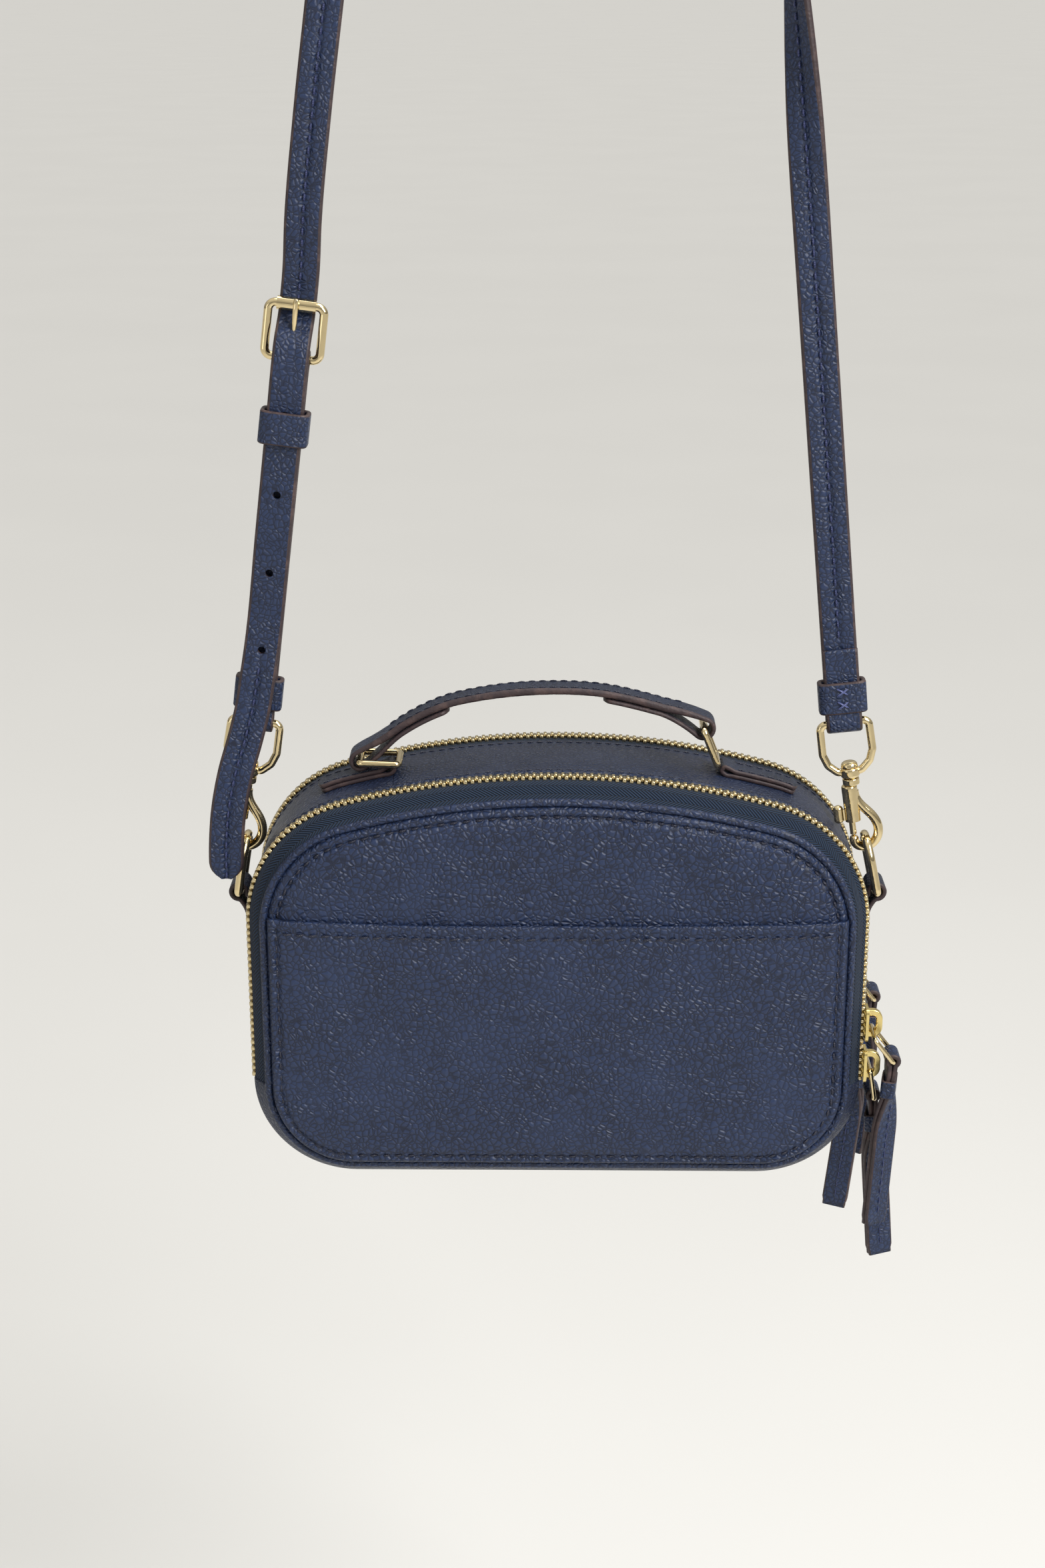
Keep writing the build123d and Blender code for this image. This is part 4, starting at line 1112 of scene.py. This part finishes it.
def tab_line(bar, low, high, r, turn):
    """Path of a folded tab: out along the low ply, round the bar, back along the high ply."""
    start = np.arctan2(low[-1, 2] - bar[2], low[-1, 0] - bar[0])
    stop = np.arctan2(high[0, 2] - bar[2], high[0, 0] - bar[0])
    span = (stop - start) % (2 * np.pi)
    if turn < 0:
        span = span - 2 * np.pi
    a = start + np.linspace(0, 1, 18)[1:-1] * span
    circle = bar + r * np.stack([np.cos(a), np.zeros(16), np.sin(a)], 1)
    return smooth_run(np.concatenate([low, circle, high]), 0.7)


tab_parts = {}
for name, side in (("left", -1), ("right", 1)):
    bar = np.array([side * TAB_X, 0, PIVOT_Z])
    low = over_band(side * np.linspace(80.5, 56.5, 9), 0.95)
    high = over_band(side * np.linspace(57.0, 80.5, 9), 2.55)
    high[0, 2] += 0.9
    line = tab_line(bar, low, high, 2.55, side)
    tab_parts[f"handle_tab_{name}"], _ = lay_band(f"handle_tab_{name}_leather", line, (0, 1, 0), 10.0, 1.5,
                                                  ends=(2.2, 2.2))

LEANS = {"right": (RIGHT_EYE, np.radians(9.0)), "left": (LEFT_EYE, np.radians(-9.5))}
SIDE_BAR, SIDE_RING = 110.0, 19.3        # where the side rings turn, and their length
side_bars = {}
for name, side in (("left", -1), ("right", 1)):
    eye_x, lean = LEANS[name]
    up = np.array([-np.sin(lean), 0, np.cos(lean)])
    wide = np.array([np.cos(lean), 0, np.sin(lean)])
    contact = np.array([eye_x, 0, EYE_Z]) + 2.5 * wide + (-45.5 + 1.6 + 1.5 + 0.9) * up
    tilt = np.arcsin((side * SIDE_BAR - contact[0]) / SIDE_RING)
    bar = np.array([side * SIDE_BAR, 0, contact[2] - SIDE_RING * np.cos(tilt)])
    side_bars[name] = bar
    low_z = np.linspace(bar[2] - 26, bar[2] - 3, 9)
    low = np.stack([np.full(9, side * (WIDE / 2 + 0.85)), np.zeros(9), low_z], 1)
    high = np.stack([np.full(9, side * (WIDE / 2 + 2.4)), np.zeros(9), low_z[::-1] - 1.5], 1)
    high[0, 0] += side * 1.6
    high[1, 0] += side * 0.4
    line = tab_line(bar, low, high, 2.75, -side)
    tab_parts[f"side_tab_{name}"], _ = lay_band(f"side_tab_{name}_leather", line, (0, 1, 0), 12.0, 1.5,
                                                ends=(2.4, 2.4))
paint(tab_leather, *tab_parts.values())
print("tabs", sorted(tab_parts))


# %% [markdown]
# ## Zip pulls
#
# A pull is a strip folded over the slider's wire ring, with a small band wrapped round its neck.
# The strip is stiff at the ring and turns on its way down, so that its face looks forwards.

# %% Pulls
PULL_AT = {("front", "upper"): (114.972, 45.332, -3, -1), ("front", "lower"): (110.11, 27.667, 5, 1),
           ("rear", "upper"): (114.972, 45.332, -4, -1), ("rear", "lower"): (110.11, 27.667, -6, 1)}
WRAP_AT = 10.5                   # the band round a pull's neck, down from the ring
along_y = np.array([0, 1.0, 0])


def make_pull(which, level):
    """Two plies from the ring down to a trimmed end; the width turns by a smooth step of height."""
    x, z, tilt, inward = PULL_AT[which, level]
    y = SIDE[which] * (CHAIN_Y - inward * 4.9)
    tilt = np.radians(tilt)
    down = np.array([np.sin(tilt), 0, -np.cos(tilt)])
    out = np.array([np.cos(tilt), 0, np.sin(tilt)])
    top = np.array([x, y, z])
    name = f"{which}_slider_{level}_pull"
    s = np.linspace(64, 5.5, 40)
    turn = {"upper": 58, "lower": 74}[level] * SIDE[which] * -1
    def twist(s):
        u = np.clip((s - 3) / 26, 0, 1)
        return np.radians(turn) * u * u * (3 - 2 * u)
    a = np.radians(np.linspace(-58, 238, 26))
    loop = np.stack([1.85 * np.cos(a), -1.85 * np.sin(a)], 1)
    flat_out = np.stack([np.full(40, 0.82), s], 1)
    flat_in = np.stack([np.full(40, -0.82), s[::-1]], 1)
    flat = np.concatenate([flat_out, loop, flat_in])
    def turned(s):
        """Width and thickness directions at distance s down the pull."""
        c, d = np.cos(twist(s))[:, None], np.sin(twist(s))[:, None]
        return c * along_y + d * out, c * out - d * along_y
    across, through = turned(flat[:, 1])
    path = top + flat[:, 1:2] * down + flat[:, :1] * through
    width = np.where(flat[:, 1] > 61.5, 8.4, 9.2)
    strip, _ = lay_band(name + "_strip", path, across, width, 1.62)
    a = np.linspace(0, 2 * np.pi, 64, endpoint=False)
    across_w, through_w = turned(np.array([WRAP_AT]))
    px = 5.05 * blunt(np.cos(a), 0.3)
    py = 2.15 * blunt(np.sin(a), 0.3)
    loop_path = top + WRAP_AT * down + px[:, None] * across_w + py[:, None] * through_w
    wrap, _ = lay_band(name + "_wrap", loop_path, down, 6.5, 0.9, closed=True)
    paint(strap_leather, strip, wrap)
    seam_s = np.linspace(17, 61, 60)
    _, normal = turned(seam_s)
    rows = []
    for k, sgn in enumerate((-1, 1)):
        line = top + seam_s[:, None] * down + normal * sgn * 1.62
        rows.append(sew(f"{name}_sewing_{k}", line, normal * sgn, pitch=3.6, length=2.7, thick=0.5))
    paint(blue_thread, *rows)
    return [strip, wrap] + rows


pull_parts = {f"{which}_slider_{level}_pull": make_pull(which, level) for which, level in PULL_AT}
print("pulls", len(pull_parts))

# %% [markdown]
# ## Sewing lines
#
# The panels are sewn all round, the pocket along its mouth, and the strap down its groove. Each
# line is found with the same height functions as the leather, so the thread lies in its dip.

# %% Sew the panels, pocket and strap
def panel_seam(which):
    """Line of sewing 3.6 mm inside the welt, raised to the face's own height."""
    inset, side = INSET[which], SIDE[which]
    d = inset + WELT_R + SEAM_IN
    line, _ = seam_ring(which)
    x, z = line[:, 0], line[:, 2]
    rise_here = panel_rise(inset, np.full(len(x), d), x, z)
    if which == "front":
        covered = z < mouth_height(x)
        rise_here = rise_here + np.where(covered, PLY, 0)
    line[:, 1] = side * (WELT_Y - 0.4 + rise_here + 0.2)
    return line


seams = {which: sew(f"{which}_panel_sewing", panel_seam(which), (0, SIDE[which], 0), length=3.0,
                    thick=0.95, slant=0.1) for which in ("front", "rear")}
mouth_x = np.linspace(-92.5, 92.5, 240)
mouth_z = mouth_height(mouth_x) - 4.2
mouth_d = depth_inside(mouth_x, mouth_z)
mouth_y = -(WELT_Y - 0.4 + panel_rise(INSET["front"], mouth_d, mouth_x, mouth_z) + PLY - 0.12)
pocket_seam = sew("pocket_sewing", np.stack([mouth_x, mouth_y, mouth_z], 1), (0, -1, 0), length=3.0,
                  thick=0.8, slant=0.1)
path, run, wide, through, along = strap_frame
front_side = through * np.sign((through * np.cross(run, wide)).sum(1, keepdims=True))
keep = along > along[first_up + 14]
a = along[keep] - along[keep][0]
edges = np.flatnonzero(np.diff((plain & keep)[keep].astype(int)))
spans = [(a[edges[0]], a[edges[1]])] if len(edges) >= 2 else []
strap_seams = []
for k, sgn in enumerate((-1, 1)):
    line = path[keep] + front_side[keep] * sgn * (STRAP_T / 2 - 0.48)
    strap_seams.append(sew(f"strap_sewing_{k}", line, front_side[keep] * sgn, pitch=3.6, length=2.5,
                           thick=0.85, skip=spans))
paint(navy_thread, *seams.values(), pocket_seam)
paint(blue_thread, *strap_seams)
print("sewing lines", len(seams) + 1 + len(strap_seams))

# %% [markdown]
# The small parts are sewn too: two rows along the handle and along each tab, one row near each
# edge of the band, and two crosses of two stitches each on the keeper of the right leg.

# %% Sew the handle, tabs and keeper
small = []
for k, y in enumerate((-3.6, 3.6)):
    line = grip + grip_up * 1.98 + (0, y, 0)
    small.append(("handle", sew(f"handle_sewing_{k}", line[6:-4], grip_up[6:-4], pitch=3.6, length=2.6,
                                thick=0.5)))
BAND_ROW = 14.9                  # depth of the rows near the band's edges
for side in (-1, 1):
    line, outer = open_ring(-0.08, side * BAND_ROW), open_ring(-1.0, side * BAND_ROW)
    up = unit(outer[:len(line)] - (0, side * BAND_ROW, 70))
    up = at_distance(up, np.linspace(0, 1, len(up)), np.linspace(0, 1, len(line)))
    small.append(("bag", sew(f"band_sewing_{side + 1}", line, up, pitch=3.4, length=2.3, thick=0.5)))
tab_x, tab_stitch = np.linspace(60, 79, 20), {"pitch": 3.4, "length": 2.5, "thick": 0.5}
for name, side in (("left", -1), ("right", 1)):
    up = unit(over_band(side * tab_x, 4.0) - over_band(side * tab_x, 1.0))
    for k, y in enumerate((-3.6, 3.6)):
        line = over_band(side * tab_x, 3.32) + (0, y, 0)
        small.append(("bag", sew(f"handle_tab_{name}_sewing_{k}", line, up, **tab_stitch)))
    z = np.linspace(side_bars[name][2] - 24.5, side_bars[name][2] - 7, 16)
    for k, y in enumerate((-4.4, 4.4)):
        line = np.stack([np.full(16, side * (WIDE / 2 + 3.16)), np.full(16, y), z], 1)
        small.append(("bag", sew(f"side_tab_{name}_sewing_{k}", line, (side, 0, 0), **tab_stitch)))
crosses = []
for k, s in enumerate((7.2, 11.8)):
    for lean in (-1, 1):
        ends = [np.array(right_leg(s - 1.3 * lean, -3.62)) - across_right * 2.0,
                np.array(right_leg(s + 1.3 * lean, -3.62)) + across_right * 2.0]
        crosses.append(("strap", sew(f"keeper_cross_{k}_{lean + 1}", np.array(ends), (0, -1, 0), pitch=4.0,
                                     length=4.6, thick=0.75)))
paint(keeper_thread, *(piece for _, piece in crosses))
paint(navy_thread, *(piece for _, piece in small))
print("small sewing", len(small))

# %% [markdown]
# ## Metal parts from the frame
#
# Rings, clips, buckle and sliders have their true shape already, so they stay and only get a
# finish. Linings and the divider get cloth.

# %% Finishes on the frame's own nodes
def finish_node(name, material):
    """Puts one finish in the node's material slot."""
    mesh = nodes[name].data
    mesh.materials.clear()
    mesh.materials.append(material)


for name in nodes:
    if name.startswith(("clip_", "buckle_", "handle_ring", "side_ring")) or name.endswith("_ring"):
        finish_node(name, gold)
    elif "slider" in name and not name.endswith("_pull"):
        finish_node(name, slider_gold)
    elif "lining" in name or name == "divider":
        finish_node(name, lining_cloth)
print("finished the frame's own nodes")

# %% [markdown]
# ## Join everything to the frame
#
# Most new pieces name the body that carries them and the solid they stand for. The panels, the
# pocket and their sewing cross the line where a face folds open; they stay where they are made.

# %% Ride and replace
def join(piece, body, slot_name, *stands_for):
    """The piece rides on one body, in place of the solids it stands for; slot_name is not used."""
    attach(piece, body)
    if stands_for:
        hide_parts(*stands_for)


def bend(piece, which, slot_name, *stands_for):
    """The piece stays where it is made, and the solids it stands for are hidden; which is not used."""
    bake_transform(piece)
    if stands_for:
        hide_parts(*stands_for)


bend(front_face, "front", "grained_leather", "front_panel", "front_panel_foot")
bend(rear_face, "rear", "grained_leather", "rear_panel", "rear_panel_foot")
bend(pocket, "front", "grained_leather", "front_pocket", "front_pocket_foot")
bend(pocket_seam, "front", "grained_leather")
for which in ("front", "rear"):
    bend(welts[which], which, "smooth_leather", f"{which}_welt", f"{which}_welt_foot")
    bend(seams[which], which, "grained_leather")
    join(tapes[which, "outer"], f"{which}_flap", "zip_tape", f"{which}_zip_tape_outer")
    join(tapes[which, "inner"], "bag", "zip_tape", f"{which}_zip_tape_inner")
    join(teeth[which, "outer"], f"{which}_flap", "zip_metal", f"{which}_zip_teeth_outer")
    join(teeth[which, "inner"], "bag", "zip_metal", f"{which}_zip_teeth_inner")
join(band, "bag", "smooth_leather", "gusset_band")
join(base, "bag", "smooth_leather", "base_gusset")
join(strap, "strap", "strap_leather", "strap_long")
join(short, "strap", "strap_leather", "strap_short")
for node, piece in keepers.items():
    join(piece, "strap", "strap_leather", node)
for piece in strap_seams:
    join(piece, "strap", "strap_leather")
join(handle_strip, "handle", "strap_leather", "handle")
for node, piece in tab_parts.items():
    join(piece, "bag", "smooth_leather", node)
for node, pieces in pull_parts.items():
    join(pieces[0], node, "pull_leather", node)
    for piece in pieces[1:]:
        join(piece, node, "pull_leather")
for body, piece in small + crosses:
    join(piece, body, "strap_leather" if body != "bag" else "smooth_leather")

# %% [markdown]
# ## Floor, light and camera
#
# A pale floor lies far below. A soft sun and a soft lamp stand at the upper right, a weaker lamp
# at the left and one overhead. The camera sees a plain pale room, but the bag is lit by a dimmer
# one with a bright ceiling, which gives polished metal something dark and something bright to
# mirror.

# %% Stage
def pale(name, colour, rough):
    """Plain matt surface whose tone wanders by less than two parts in a hundred."""
    f = Finish(name)
    f.join(f.mix(f.ramp(f.noise(3.0), 0.3, 0.7, 0.0, 0.4), colour, dim(colour, 0.96)),
           f.shader.inputs["Base Color"])
    f.value(rough=rough, specular=0.2)
    return f.material


FLOOR_Z = -1.02                  # metres, 0.32 m under the bag's base
floor_mesh = bpy.data.meshes.new("floor")
floor_mesh.from_pydata([(x, y, FLOOR_Z) for x, y in ((-60, -60), (60, -60), (60, 60), (-60, 60))], [],
                       [(0, 1, 2, 3)])
floor = bpy.data.objects.new("floor", floor_mesh)
bpy.context.scene.collection.objects.link(floor)
floor_mesh.materials.append(pale("pale floor", linear("d3d2cf"), 0.85))


def lamp(name, kind, place, power, size, target=(0, 0, -0.58)):
    """Lamp at a place that faces the bag: a soft square, or a sun whose size is an angle."""
    light = bpy.data.lights.new(name, kind)
    light.energy = power
    if kind == "SUN":
        light.angle = size
    else:
        light.size = size
    obj = bpy.data.objects.new(name, light)
    bpy.context.scene.collection.objects.link(obj)
    obj.location = place
    obj.rotation_euler = (Vector(target) - Vector(place)).to_track_quat("-Z", "Y").to_euler()


lamp("sun", "SUN", (1.5, -1.1, 1.6), 1.45, np.radians(22))
lamp("key light", "AREA", (0.75, -0.85, 0.05), 12.0, 0.5)
lamp("fill light", "AREA", (-1.0, -0.9, -0.35), 1.6, 0.7)
lamp("top light", "AREA", (0.15, 0.15, 0.35), 3.0, 0.6)

world = bpy.data.worlds.new("pale room")
world.use_nodes = True
tree = world.node_tree
direction = tree.nodes.new("ShaderNodeTexCoord").outputs["Generated"]
split = tree.nodes.new("ShaderNodeSeparateXYZ")
tree.links.new(direction, split.inputs[0])
shade = tree.nodes.new("ShaderNodeMapRange")
for k, number in enumerate((-0.15, 0.85, 0.12, 0.95)):
    shade.inputs[k + 1].default_value = number
tree.links.new(split.outputs["Z"], shade.inputs[0])
seen = tree.nodes.new("ShaderNodeLightPath").outputs["Is Camera Ray"]
strength = tree.nodes.new("ShaderNodeMix")
strength.inputs[3].default_value = 0.70
tree.links.new(seen, strength.inputs[0])
tree.links.new(shade.outputs[0], strength.inputs[2])
tree.links.new(strength.outputs[0], tree.nodes["Background"].inputs[1])
tree.nodes["Background"].inputs[0].default_value = linear("f0eee9")
bpy.context.scene.world = world
bpy.context.scene.view_settings.view_transform = "Standard"

# %% [markdown]
# The camera stands in front of the bag and looks down at it by 19 degrees.

# %% Camera
camera_data = bpy.data.cameras.new("camera")
camera_data.lens, camera_data.sensor_width = 55.1, 36.0
camera_data.clip_start, camera_data.clip_end = 0.05, 50
camera = bpy.data.objects.new("camera", camera_data)
bpy.context.scene.collection.objects.link(camera)
pitch, yaw = np.radians(19.12), np.radians(0.62)
ahead = Vector((-np.sin(yaw) * np.cos(pitch), np.cos(yaw) * np.cos(pitch), -np.sin(pitch)))
camera.location = to_frame((-3.67, -775.45, 403.39)).tolist()
camera.rotation_euler = ahead.to_track_quat("-Z", "Y").to_euler()
bpy.context.scene.camera = camera
print("camera at", [round(v, 3) for v in camera.location])
